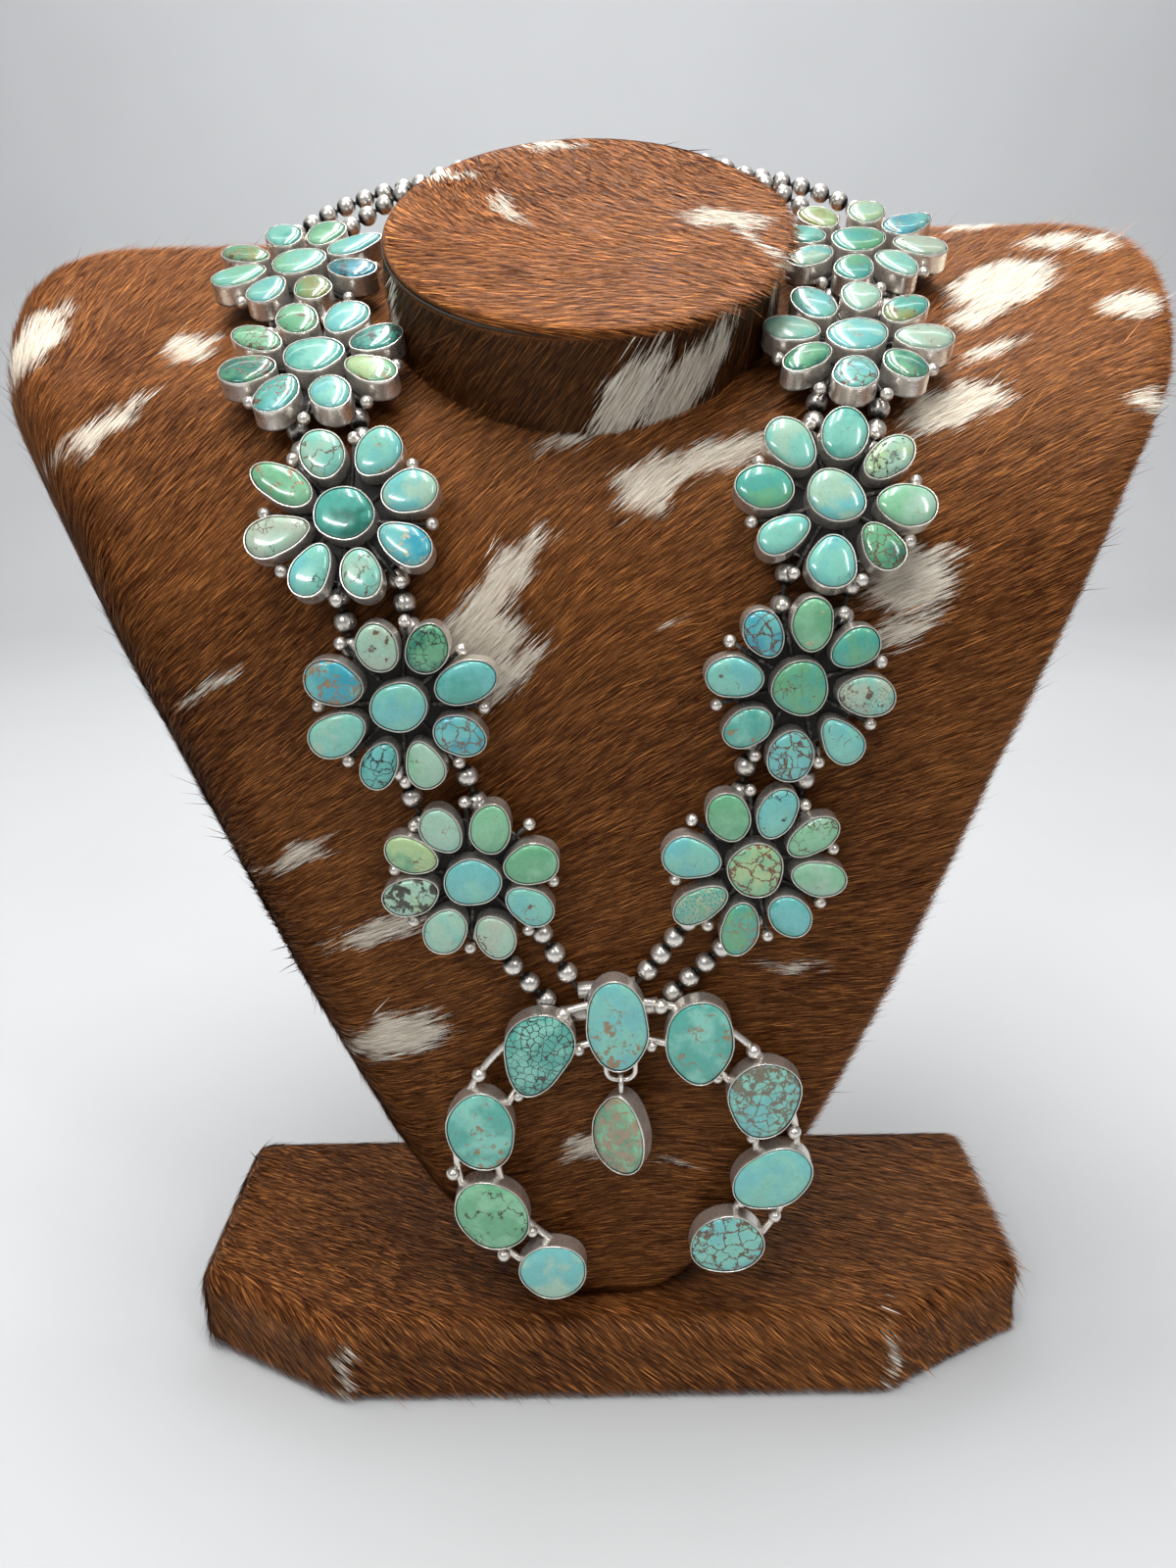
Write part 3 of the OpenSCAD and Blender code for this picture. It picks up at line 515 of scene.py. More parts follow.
def skin():
    s = bpy.context.scene.necklace_hide
    f = Finish("cowhide skin")
    at = f.place()
    broad = f.noise(at, 22.0, 3.0, 0.6)
    nap = f.noise(at, 900.0, 3.0, 0.6)
    tone = (0.05 + 0.3 * nap + 0.5 * (broad - 0.42)).held()
    brown = f.mix(tone, tuple(s.brown_low), tuple(s.brown_high))
    # The painted shade value darkens the skin above 0, and below 0 it is painted sheen that lightens it
    brown = f.scaled(brown, 0.62 * (1.0 - f.attribute("painted_shade_and_sheen")))
    pale = f.mix(nap, sheet_light((150, 132, 112)), sheet_light((196, 182, 164)))
    base = f.mix(f.attribute("white"), brown, pale)
    return f.done(base_color=base, roughness=0.75, specular_ior_level=0.2, normal=f.bump(nap, 0.0006, 0.8))


def seam():
    f = Finish("seam cord")
    at = f.place()
    fibre = f.noise(at, 1800.0, 4.0, 0.7)
    base = f.mix(fibre, sheet_light((34, 30, 28)), sheet_light((92, 84, 76)))
    return f.done(base_color=base, roughness=0.85, normal=f.bump(fibre, 0.0003, 0.8))


def felt():
    f = Finish("felt")
    at = f.place()
    fibre = f.noise(f.stretched(at, (0.2, 0.4, 0.9), (1.0, 2.0, 1.0)), 1300.0, 5.0, 0.7)
    pill = f.noise(at, 260.0, 3.0)
    base = f.mix((0.7 * fibre + 0.3 * pill).held(), sheet_light((22, 21, 21)), sheet_light((64, 60, 58)))
    return f.done(base_color=base, roughness=0.92, specular_ior_level=0.15, normal=f.bump(fibre + pill, 0.0005, 0.8))


def pale_floor():
    s = bpy.context.scene.necklace_stage
    f = Finish("pale floor")
    cloud = f.noise(f.place(), 6.0, 3.0)
    base = f.scaled(tuple(s.floor)[:3], 0.95 + 0.08 * cloud)
    return f.done(base_color=base, roughness=0.7, specular_ior_level=0.2)


FINISHES = {"turquoise": turquoise, "silver": silver, "strand": strand, "hair": hair, "skin": skin, "seam": seam,
            "felt": felt, "floor": pale_floor}

# ---------------------------------------------------------------- meshes


def bend_at(up):
    return np.clip((np.asarray(up, float) - CHEST_RISE) / BEND_R, 0, BEND)


def place(right, up, lift):
    """A place over the hide, from how far right, how far up along it and how high above it."""
    right, up, lift = np.broadcast_arrays(*[np.asarray(v, float) for v in (right, up, lift)])
    a = bend_at(up)
    past = np.maximum(up - CHEST_RISE - BEND_LEN, 0)
    y = CHEST_Y + BEND_R * (1 - np.cos(a)) + past * math.sin(BEND) - lift * np.cos(a)
    z = FORM_Z + np.minimum(up, CHEST_RISE) + BEND_R * np.sin(a) + past * math.cos(BEND) + lift * np.sin(a)
    return np.stack([right, y, z], -1)


class Seat:
    """A flat frame that touches the hide: x to the right, y up along the hide, z out of it."""

    def __init__(self, right, up):
        a = float(bend_at(up))
        self.origin = place(right, up, 0)
        self.axes = np.array([(1, 0, 0), (0, math.sin(a), math.cos(a)), (0, -math.cos(a), math.sin(a))])

    def out(self, points):
        return self.origin + np.asarray(points, float) @ self.axes

    def back(self, points):
        return (np.asarray(points, float) - self.origin) @ self.axes.T

    def turned(self, degrees):
        """The same frame turned about its own z."""
        other = Seat.__new__(Seat)
        c, s = math.cos(math.radians(degrees)), math.sin(math.radians(degrees))
        other.origin = self.origin
        other.axes = np.array([(c, s, 0), (-s, c, 0), (0, 0, 1)]) @ self.axes
        return other


def drop_seat():
    """The drop's own frame, at the hinge and turned about the vertical."""
    flat = Seat(*NAJA_AT)
    c, s = math.cos(DROP_TURN), math.sin(DROP_TURN)
    flat.axes = np.array([(c, 0, s), (0, 1, 0), (-s, 0, c)]) @ flat.axes
    flat.origin = np.array(HINGE)
    return flat


def placed(name, data):
    """A new object in the scene."""
    thing = bpy.data.objects.new(name, data)
    bpy.context.scene.collection.objects.link(thing)
    return thing


def read(rows, field, width=1, kind=np.float32):
    """One field of a mesh's points, corners or attribute, as an array."""
    values = np.empty(len(rows) * width, kind)
    rows.foreach_get(field, values)
    return values if width == 1 else values.reshape(-1, width)


def give(mesh, key, values):
    """Stores one number for each point of a mesh."""
    mesh.attributes.new(key, "FLOAT", "POINT").data.foreach_set("value", np.asarray(values, np.float32))


def unit(rows):
    return rows / np.maximum(np.linalg.norm(rows, axis=-1), 1e-9)[..., None]


def circle(radius, height, sides):
    """A ring of points round z, in a flat frame."""
    t = 2 * math.pi * np.arange(sides) / sides
    return np.column_stack([radius * np.cos(t), radius * np.sin(t), np.full(sides, height)])


def band_faces(rows, sides, joined=False):
    """Faces between rings of points; joined also ties the last ring to the first."""
    faces = []
    for j in range(rows if joined else rows - 1):
        k = (j + 1) % rows
        for i in range(sides):
            m = (i + 1) % sides
            faces.append((j * sides + i, j * sides + m, k * sides + m, k * sides + i))
    return faces


class Build:
    """Gathers points, faces and point attributes of one piece, in millimetres."""

    def __init__(self):
        self.points = []
        self.faces = []
        self.data = {}
        self.count = 0

    def add(self, points, faces, **data):
        points = np.asarray(points, float).reshape(-1, 3)
        self.points.append(points)
        self.faces += [tuple(int(i) + self.count for i in face) for face in faces]
        self.count += len(points)
        for name, value in data.items():
            value = np.asarray(value, float)
            if value.ndim == 0 or value.ndim == 1 and len(value) != len(points):
                value = np.broadcast_to(value, (len(points),) + value.shape)
            self.data.setdefault(name, []).append(value)

    def rings(self, rings, **data):
        """A skin over rings with as many points each, closed at both ends."""
        rings = np.asarray(rings, float)
        rows, sides = rings.shape[:2]
        faces = band_faces(rows, sides)
        faces.append(tuple(range(sides))[::-1])
        faces.append(tuple((rows - 1) * sides + i for i in range(sides)))
        self.add(rings, faces, **data)

    def hoop(self, rings, **data):
        """A skin over rings, the last of which joins the first."""
        rings = np.asarray(rings, float)
        self.add(rings, band_faces(*rings.shape[:2], joined=True), **data)

    def mesh(self, name):
        mesh = bpy.data.meshes.new(name)
        mesh.from_pydata((np.concatenate(self.points) * MM).tolist(), [], self.faces)
        mesh.update()
        for key, parts in self.data.items():
            values = np.concatenate(parts)
            kind, field = {1: ("FLOAT", "value"), 3: ("FLOAT_VECTOR", "vector"), 4: ("FLOAT_COLOR", "color")}[
                1 if values.ndim == 1 else values.shape[1]]
            layer = mesh.attributes.new(key, kind, "POINT")
            layer.data.foreach_set(field, values.astype(np.float32).ravel())
        if self.faces:
            face_out(mesh)
        return mesh

    def show(self, name, finish, body, slot, *nodes, smooth=60):
        return show(name, self.mesh(name), finish, body, slot, *nodes, smooth=smooth)


def face_out(mesh):
    """Turns a closed mesh's faces outwards."""
    work = bmesh.new()
    work.from_mesh(mesh)
    bmesh.ops.recalc_face_normals(work, faces=work.faces)
    work.to_mesh(mesh)
    work.free()


def show(name, mesh, finish, body, slot, *nodes, smooth=60):
    """Makes a finished piece of a mesh."""
    mesh.materials.clear()
    mesh.materials.append(finish_of(finish))
    mesh.polygons.foreach_set("use_smooth", [True] * len(mesh.polygons))
    if smooth < 180:
        mesh.set_sharp_from_angle(angle=math.radians(smooth))
    piece = placed(name, mesh)
    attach(piece, body)
    if nodes:
        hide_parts(*nodes)
    return piece


def islands(node):
    """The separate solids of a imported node, each as its points in millimetres."""
    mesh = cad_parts[node].data
    points = read(mesh.vertices, "co", 3, float) / MM
    corners = read(mesh.loops, "vertex_index", 1, int)
    _, first, same = np.unique(np.round(points, 3), axis=0, return_index=True, return_inverse=True)
    points = points[first]
    tris = same.ravel()[corners].reshape(-1, 3)
    label = np.arange(len(points))
    while True:
        low = label[tris].min(1)
        fresh = label.copy()
        for k in range(3):
            np.minimum.at(fresh, tris[:, k], low)
        fresh = fresh[fresh]
        if (fresh == label).all():
            break
        label = fresh
    return [points[label == k] for k in np.unique(label[tris])]


def around(points, count):
    """A smooth closed line through the corners of an outline, with count points."""
    p = np.asarray(points, float)
    t = np.arange(count) * len(p) / count
    i = t.astype(int)
    t = (t - i)[:, None]
    a, b, c, d = (p[(i + k) % len(p)] for k in (-1, 0, 1, 2))
    return 0.5 * (2 * b + (c - a) * t + (2 * a - 5 * b + 4 * c - d) * t ** 2 + (3 * b - a - 3 * c + d) * t ** 3)


# How far a stone's polished face reaches past its solid, under the thin rim, and how many rings its dome has
FACE_GROWTH = 0.24
DOME_ROWS = 9
# How far under the rim's top a stone's side ends and its dome starts
SIDE_TOP = 0.55
DOME_START = 0.35


class Stone:
    """A stone's smooth outline in a flat frame, read from its solid."""

    SIDES = 36

    def __init__(self, seat, points, seed):
        local = seat.back(points)
        self.low = local[:, 2].min()
        self.top = local[:, 2].max()
        foot = local[local[:, 2] < self.low + 0.05][:, :2]
        self.middle = foot.mean(0)
        angle = np.arctan2(*(foot - self.middle).T[::-1])
        line = around(foot[np.argsort(angle)], self.SIDES)
        spread = line - self.middle
        angle = np.arctan2(spread[:, 1], spread[:, 0])
        turns = np.random.default_rng(seed).uniform(0, 2 * math.pi, 3)
        push = bpy.context.scene.necklace_stones.unevenness
        # Slow waves of two, three and five to a round
        wander = sum(w * np.cos(k * angle + t) for w, k, t in zip((0.6, 1.0, 0.5), (2, 3, 5), turns))
        self.line = self.middle + spread * (1 - 0.4 * push + push * wander)[:, None]
        edge = np.roll(self.line, -1, 0) - np.roll(self.line, 1, 0)
        self.normal = unit(np.stack([edge[:, 1], -edge[:, 0]], 1))
        self.face = self.line + self.normal * FACE_GROWTH

    def ring(self, grow, height):
        line = self.line + self.normal * grow
        return np.column_stack([line, np.full(len(line), height)])

    def shrunk(self, share, height):
        line = self.middle + (self.face - self.middle) * share
        return np.column_stack([line, np.full(len(line), height)])


def add_stone(build, seat, stone, rim, look, seed, depth=1.0):
    """A domed stone that starts under the rim; a depth below 1 darkens it with painted shade."""
    words = look.split()
    main, second, vein = (tuple(depth * c for c in sheet_light(TINTS[w])[:3]) + (1.0,) for w in words[:3])
    web, blotch, cell = (float(w) for w in words[3:6])
    shift = np.random.default_rng(seed + 900).uniform(-1, 1, 3)
    rings = [stone.ring(0.0, stone.low), stone.ring(FACE_GROWTH, rim - SIDE_TOP)]
    start = rim - DOME_START
    # The powers make the dome steeper at its edge and flatter on top than a ball
    for k in range(DOME_ROWS):
        a = (k / DOME_ROWS) * math.pi / 2
        share = math.cos(a) ** 0.62
        rings.append(stone.shrunk(share * 0.985, start + (stone.top - start) * math.sin(a) ** 0.9))
    rows = seat.out(np.concatenate(rings + [[(*stone.middle, stone.top)]]))
    n = Stone.SIDES
    last = (len(rings) - 1) * n
    faces = band_faces(len(rings), n)
    faces += [(last + i, last + (i + 1) % n, len(rows) - 1) for i in range(n)]
    faces.append(tuple(range(n))[::-1])
    lean = np.zeros(len(rows))
    if len(words) > 6:
        side = math.radians(float(words[6]))
        flat = np.concatenate([r[:, :2] for r in rings] + [[stone.middle]]) - stone.middle
        lean = flat @ (math.cos(side), math.sin(side)) / np.abs(flat).max() - 0.25
    build.add(rows, faces, main=main, second=second, vein=vein, amounts=(web / 9, blotch / 9, cell),
              shift=shift, lean=lean)


def add_bezel(build, seat, stone, low, rim):
    """A tall silver wall with its rim rolled over the stone."""
    s = bpy.context.scene.necklace_silver
    wall, roll = s.wall / MM, s.rim / MM
    rows = [  # growth, height, oxide and painted shade
        (wall - 0.05, low, 0.9), (wall + 0.04, low + 0.35, 0.55), (wall, low + 0.9, 0.22),
        (wall - 0.03, low + 2.6, 0.1), (wall - 0.02, rim - 1.1, 0.08), (wall + 0.02, rim - roll, 0.05),
        (wall - 0.04, rim - 0.12, 0), (wall - 0.14, rim + 0.04, 0), (wall - 0.28, rim + 0.05, 0.0),
        # The last rows darken the inner rim down to the stone: oxide, with a painted shadow line where the rim meets
        # the stone
        (wall - 0.38, rim - 0.06, 0.3), (wall - 0.44, rim - 0.24, 1), (0.1, rim - 0.6, 1)]
    rings = [seat.out(stone.ring(grow, height)) for grow, height, _ in rows]
    build.rings(rings, oxide=np.repeat([row[2] for row in rows], Stone.SIDES))


def add_ball(build, at, radius, seat, sides=14, rows=9):
    """A silver ball, dark where it meets the silver under it."""
    rings = []
    for j in range(rows + 1):
        a = math.pi * (j + 0.02) / (rows + 0.04)
        rings.append(seat.out(circle(radius * math.sin(a), -radius * math.cos(a), sides) + at))
    oxide = np.clip(1.15 - 2.1 * np.arange(rows + 1) / rows, 0.02, 1)
    build.rings(rings, oxide=np.repeat(oxide, sides))


def add_disc(build, seat, radius, low, high, sides=64):
    """A flat round plate with a soft edge, in its seat's frame."""
    edge = 0.35
    rows = [  # radius, height, oxide
        (radius - edge, low, 0.6), (radius, low + edge, 0.45), (radius, high - edge, 0.45),
        (radius - edge, high, 0.95), (radius * 0.5, high, 1.0)]
    rings = [seat.out(circle(r, h, sides)) for r, h, _ in rows]
    build.rings(rings, oxide=np.repeat([row[2] for row in rows], sides))


def frames_along(line):
    """The way ahead and two steady directions across it, at each point of an open line."""
    ahead = unit(np.gradient(np.asarray(line, float), axis=0))
    side = np.cross(ahead[0], (0.3, 0.8, 0.52))
    rows = []
    for a in ahead:
        side = side - a * (side @ a)
        side = side / np.linalg.norm(side)
        rows.append((side, np.cross(a, side)))
    return ahead, rows


def add_wire(build, line, radius, oxide=0.1, sides=12):
    """A wire along a line of points, with rounded ends."""
    ahead, across = frames_along(line)
    t = 2 * math.pi * np.arange(sides) / sides
    ends = [(math.sin(math.radians(a)), math.cos(math.radians(a))) for a in (25, 55, 80)]
    last = len(line) - 1
    spots = [(0, -slide, share) for slide, share in ends[::-1]]
    spots += [(i, 0.0, 1.0) for i in range(len(line))]
    spots += [(last, slide, share) for slide, share in ends]
    rings = [np.asarray(line[i]) + ahead[i] * radius * slide
             + radius * share * (np.outer(np.cos(t), across[i][0]) + np.outer(np.sin(t), across[i][1]))
             for i, slide, share in spots]
    build.rings(rings, oxide=oxide)


def add_loop(build, middle, axis_a, axis_b, radius, wire, oxide=0.15, sides=12, steps=32):
    """A closed ring of wire."""
    axis_c = np.cross(axis_a, axis_b)
    t = 2 * math.pi * np.arange(sides) / sides
    rings = []
    for k in range(steps):
        a = 2 * math.pi * k / steps
        out = math.cos(a) * np.asarray(axis_a) + math.sin(a) * np.asarray(axis_b)
        rings.append(np.asarray(middle) + out * radius
                     + wire * (np.outer(np.cos(t), out) + np.outer(np.sin(t), axis_c)))
    build.hoop(rings, oxide=oxide)


def add_tube(build, seat, a, b, sides=20):
    """An open tube for a strand, between two points in its seat's frame."""
    a, b = seat.out([a])[0], seat.out([b])[0]
    ahead = (b - a) / np.linalg.norm(b - a)
    side = np.cross(ahead, seat.axes[2])
    up = np.cross(side, ahead)
    t = 2 * math.pi * np.arange(sides) / sides
    circle_round = np.outer(np.cos(t), side) + np.outer(np.sin(t), up)
    rows = [  # end, radius, slide along the tube, oxide
        (a, HOLE_R, 0.4, 1), (a, TUBE_R - 0.15, 0, 0.4), (a, TUBE_R, 0.2, 0.2), (b, TUBE_R, -0.2, 0.2),
        (b, TUBE_R - 0.15, 0, 0.4), (b, HOLE_R, -0.4, 1)]
    rings = [p + ahead * slide + circle_round * r for p, r, slide, _ in rows]
    build.hoop(rings, oxide=np.repeat([row[3] for row in rows], sides))


# ---------------------------------------------------------------- clusters


def cluster_seed(side, number):
    return (0 if side == "left" else 100) + 10 * number


def cluster_stones(side, number):
    """The seat of a cluster and its nine stones, the centre first, then clockwise as in the chart."""
    seat = Seat(*CLUSTERS[side][number - 1][:2])
    name = f"{side}_{number}"
    solids = islands(f"centre_{name}") + islands(f"petals_{name}")
    stones = [Stone(seat, p, cluster_seed(side, number) + i) for i, p in enumerate(solids)]
    first = FIRST_PETAL[side][number - 1]
    petals = sorted(stones[1:], key=lambda s: (first - math.degrees(
        math.atan2(s.middle[1], s.middle[0])) + 15) % 360)
    return seat, [stones[0]] + petals


def dress_cluster(side, number):
    seat, stones = cluster_stones(side, number)
    name = f"{side}_{number}"
    work = Build()
    add_disc(work, seat, PLATE_R, PLATE_LIFT, PLATE_TOP)
    for stone in stones:
        add_bezel(work, seat, stone, CUP_LIFT, RIM)
    angles = [math.degrees(math.atan2(s.middle[1], s.middle[0])) for s in stones[1:]]
    for a, b in zip(angles, angles[1:] + angles[:1]):
        gap = math.radians(b + ((a - b) % 360) / 2)
        way = np.array([math.cos(gap), math.sin(gap), 0])
        line = [seat.out([way * r + (0, 0, CUP_LIFT + 0.7)])[0] for r in (*BAR_SPOTS, BALL_REACH)]
        add_wire(work, line, BAR_R, oxide=0.8, sides=8)
        add_ball(work, way * BALL_REACH + (0, 0, CUP_LIFT + 0.1 + BALL_R), BALL_R, seat)
    turned = seat.turned(CLUSTERS[side][number - 1][2])
    for x in (-STRAND_SPACE / 2, STRAND_SPACE / 2):
        add_tube(work, turned, (x, -TUBE_LEN / 2, BEAD_LIFT), (x, TUBE_LEN / 2, BEAD_LIFT))
    work.show(f"cluster_silver_{name}", "silver", BUST, "silver", f"setting_{name}", smooth=50)
    for part, numbers in (("centre", range(1)), ("petals", range(1, 9))):
        work = Build()
        for i in numbers:
            add_stone(work, seat, stones[i], RIM, STONES[name][i], cluster_seed(side, number) + i,
                      CLUSTER_PAINTED_SHADE[number - 1])
        work.show(f"stones_{part}_{name}", "turquoise", BUST, "turquoise_blue", f"{part}_{name}", smooth=75)


def dress_naja():
    seat = Seat(*NAJA_AT)
    turned = seat.turned(90 + NAJA_TURN)
    stones = [Stone(seat, islands(f"naja_stone_{i}")[0], 300 + i) for i in range(1, 10)]
    work = Build()
    for stone in stones:
        add_bezel(work, seat, stone, CUP_LIFT, RIM)
    span = np.radians(np.linspace(*NAJA_SPAN, 96))
    for side in (-1, 1):
        r = NAJA_R + side * NAJA_WIRE_SPACE / 2
        line = turned.out(np.column_stack([r * np.cos(span), r * np.sin(span), np.full(96, NAJA_WIRE_LIFT)]))
        add_wire(work, line, NAJA_WIRE / 2, oxide=0.08)
    for angle, share, size in NAJA_BALLS:
        a = math.radians(angle)
        r = NAJA_R + share * NAJA_WIRE_SPACE
        add_ball(work, np.array([r * math.cos(a), r * math.sin(a), NAJA_WIRE_LIFT + 0.65 * NAJA_WIRE]),
                 size * NAJA_BALL_D / 2, turned)
    flat = seat.turned(NAJA_TURN)
    for up, half in NAJA_TUBES:
        add_tube(work, flat, (-half, up, BEAD_LIFT), (half, up, BEAD_LIFT))
    knob = Seat(*NAJA_AT)
    knob.origin = flat.out([(0, sum(up for up, _ in NAJA_TUBES) / 2, 0)])[0]
    add_disc(work, knob, NAJA_PLATE_R, PLATE_LIFT, PLATE_TOP, sides=32)
    # The loop under the top stone
    middle = np.array(HINGE) + (0, 0, LOOP_R)
    bend = [(LOOP_BAR / 2 + LOOP_R * math.cos(a), LOOP_R * math.sin(a)) for a in np.radians(np.linspace(0, -90, 12))]
    right = [middle + (x, 0, z) for x, z in bend]
    left = [middle + (-x, 0, z) for x, z in bend[::-1]]
    line = [right[0] + (0, 0, LOOP_LEG)] + right + left + [left[-1] + (0, 0, LOOP_LEG)]
    add_wire(work, line, LOOP_WIRE / 2, oxide=0.12)
    work.show("naja_silver", "silver", BUST, "silver", "naja_frame", smooth=50)
    for i, stone in enumerate(stones, 1):
        work = Build()
        add_stone(work, seat, stone, RIM, STONES["naja"][i - 1], 300 + i)
        work.show(f"stone_naja_{i}", "turquoise", BUST, "turquoise_blue", f"naja_stone_{i}", smooth=75)


def dress_drop():
    seat = drop_seat()
    stone = Stone(seat, islands("drop_stone")[0], 400)
    half = CUP_H / 2
    work = Build()
    add_bezel(work, seat, stone, -half, half)
    ring_low = RING_R - LOOP_WIRE / 2 - RING_GAP
    flat = Seat(*NAJA_AT)
    flat.origin = np.array(HINGE)
    add_loop(work, flat.out([(0, -ring_low, 0)])[0], flat.axes[1], flat.axes[2], RING_R + LOOP_WIRE / 2,
             LOOP_WIRE / 2)
    work.show("drop_silver", "silver", DROP, "silver", "drop_setting", smooth=50)
    work = Build()
    add_stone(work, seat, stone, half, STONES["drop"][0], 400)
    work.show("stone_drop", "turquoise", DROP, "turquoise_green", "drop_stone", smooth=75)


# ---------------------------------------------------------------- beads


def bead_mesh():
    """One bead: two domed halves, dark at its ends and along the seam."""
    s = bpy.context.scene.necklace_beads
    radius = s.diameter / MM / 2
    sides = 14
    turns = [math.pi * k / 10 for k in range(11)]
    rows = [(radius * max(math.sin(a) ** 0.92, 0.24), -radius * math.cos(a) * 0.985) for a in turns]
    high = np.abs([z / radius for _, z in rows])
    oxide = np.clip((high - (1 - s.collar)) / s.collar, 0, 1) ** 0.6
    oxide[5] = 0.3  # the seam
    build = Build()
    build.rings([circle(r, z, sides) for r, z in rows], oxide=np.repeat(oxide, sides))
    mesh = build.mesh("bead")
    mesh.polygons.foreach_set("use_smooth", [True] * len(mesh.polygons))
    return mesh


def new_tree(name, inputs):
    """A Geometry Nodes tree with named inputs. Returns it and each input's Wire."""
    tree = bpy.data.node_groups.new(name, "GeometryNodeTree")
    tree.interface.new_socket("Geometry", in_out="INPUT", socket_type="NodeSocketGeometry")
    for key, kind in inputs:
        tree.interface.new_socket(key, in_out="INPUT", socket_type=kind)
    tree.interface.new_socket("Geometry", in_out="OUTPUT", socket_type="NodeSocketGeometry")
    start = tree.nodes.new("NodeGroupInput")
    return tree, {socket.name: Wire(tree, socket) for socket in start.outputs if socket.name}


def end_tree(tree, instances, material):
    """Every tree ends in plain geometry with its material."""
    plain = add_node(tree, "GeometryNodeRealizeInstances", {}, {"Geometry": instances})
    coated = add_node(tree, "GeometryNodeSetMaterial", {}, {"Geometry": plain, "Material": material})
    add_node(tree, "NodeGroupOutput", {}, {0: coated})


def grown(carrier, tree, values):
    """The plain mesh that a tree makes on a carrier. The modifier and the carrier go afterwards."""
    modifier = carrier.modifiers.new(tree.name, "NODES")
    modifier.node_group = tree
    for item in tree.interface.items_tree:
        if item.in_out == "INPUT" and item.name in values:
            modifier[item.identifier] = values[item.name]
    graph = bpy.context.evaluated_depsgraph_get()
    mesh = bpy.data.meshes.new_from_object(carrier.evaluated_get(graph), preserve_all_data_layers=True,
                                           depsgraph=graph)
    carrier.modifiers.clear()
    return mesh


def bead_tree():
    """Puts a bead on every point, turned along the strand."""
    tree, given = new_tree("beads on a strand", [
        ("Bead", "NodeSocketObject"), ("Turn", "NodeSocketFloat"), ("Seed", "NodeSocketInt"),
        ("Finish", "NodeSocketMaterial")])
    bead = add_node(tree, "GeometryNodeObjectInfo", {}, {"Object": given["Bead"]}, "Geometry")
    ahead = add_node(tree, "GeometryNodeInputNamedAttribute", {"data_type": "FLOAT_VECTOR"}, {"Name": "ahead"})
    facing = add_node(tree, "FunctionNodeAlignRotationToVector", {"axis": "Z"}, {"Vector": ahead})
    dice = add_node(tree, "FunctionNodeRandomValue", {"data_type": "FLOAT"},
                    {2: 0.0, 3: 6.28, "Seed": given["Seed"]}, 1)
    spin = add_node(tree, "FunctionNodeAxisAngleToRotation", {}, {0: (0, 0, 1), 1: dice * given["Turn"]})
    turned = add_node(tree, "FunctionNodeRotateRotation", {"rotation_space": "LOCAL"}, {0: facing, 1: spin})
    beads = add_node(tree, "GeometryNodeInstanceOnPoints", {}, {
        "Points": given["Geometry"], "Instance": bead, "Rotation": turned})
    end_tree(tree, beads, given["Finish"])
    return tree


def strand_ways(middles):
    """The direction of the strand at each bead, from its nearest neighbours."""
    ahead = []
    for p in middles:
        away = np.linalg.norm(middles - p, axis=1)
        ends = [middles[k] for k in np.argsort(away)[1:3] if away[k] < NEXT_BEAD]
        ahead.append((ends[0] - ends[1]) if len(ends) == 2 else (ends[0] - p) if ends else np.array([0, 0, 1.0]))
    return unit(np.array(ahead))


def string_beads():
    tree = bead_tree()
    bead = placed("one_bead", bead_mesh())
    names = [f"{side}_{way}" for side in ("back", "left", "right") for way in ("inner", "outer")]
    for number, name in enumerate(names):
        middles = np.array([(p.min(0) + p.max(0)) / 2 for p in islands(f"beads_{name}")])
        work = Build()
        work.add(middles, [], ahead=strand_ways(middles))
        carrier = placed("bead_places", work.mesh("bead_places"))
        mesh = grown(carrier, tree, {"Bead": bead, "Turn": 1.0, "Seed": number, "Finish": finish_of("silver")})
        bpy.data.objects.remove(carrier)
        mesh.name = f"beads_{name}_round"
        show(f"silver_beads_{name}", mesh, "silver", BUST, "bead_silver", f"beads_{name}", smooth=180)
    bpy.data.objects.remove(bead)
    for node in ("thread_inner", "thread_outer"):
        paint(node, "strand")


def paint(node, finish):
    """A CAD node whose shape is right gets its finish."""
    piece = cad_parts[node]
    piece.data.materials.clear()
    piece.data.materials.append(finish_of(finish))


def dress_clasp():
    """A box clasp with soft edges and a seam round it."""
    low, high = (np.array(c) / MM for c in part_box("clasp"))
    seat = Seat(0, NECK_UP)
    mid = seat.back([(low + high) / 2])[0]
    half = [  # share of the length, size, oxide
        (-0.5, 0.78, 0.5), (-0.46, 0.93, 0.3), (-0.34, 1.0, 0.1), (-0.06, 1.0, 0.1), (-0.03, 0.95, 1.0)]
    rings, oxide = [], []
    for share, size, dark in half + [(-share, size, dark) for share, size, dark in half[::-1]]:
        ring = []
        for k in range(32):
            a = 2 * math.pi * k / 32
            x = abs(math.cos(a)) ** 0.35 * math.copysign(1, math.cos(a))
            y = abs(math.sin(a)) ** 0.35 * math.copysign(1, math.sin(a))
            ring.append((share * CLASP_W, mid[1] + y * CLASP_T / 2 * size,
                         mid[2] + x * CLASP_H / 2 * (0.4 + 0.6 * size)))
        rings.append(seat.out(ring))
        oxide += [dark] * 32
    work = Build()
    work.rings(rings, oxide=oxide)
    work.show("clasp_silver", "silver", BUST, "silver", "clasp", smooth=50)


# ---------------------------------------------------------------- hide


def flow_angle(right, up, chart=PATCHES, column=4):
    """The slant of the hair at a place, from a chart of slants."""
    right, up = np.asarray(right, float), np.asarray(up, float)
    far = np.hypot(right[..., None] - chart[:, 0], up[..., None] - chart[:, 1])
    weight = 1 / (far + 12) ** 3
    return (weight * chart[:, column]).sum(-1) / weight.sum(-1)


# A light patch narrower than this is as soft at its edge as one of this half width, in mm
PATCH_SOFT = 2.4


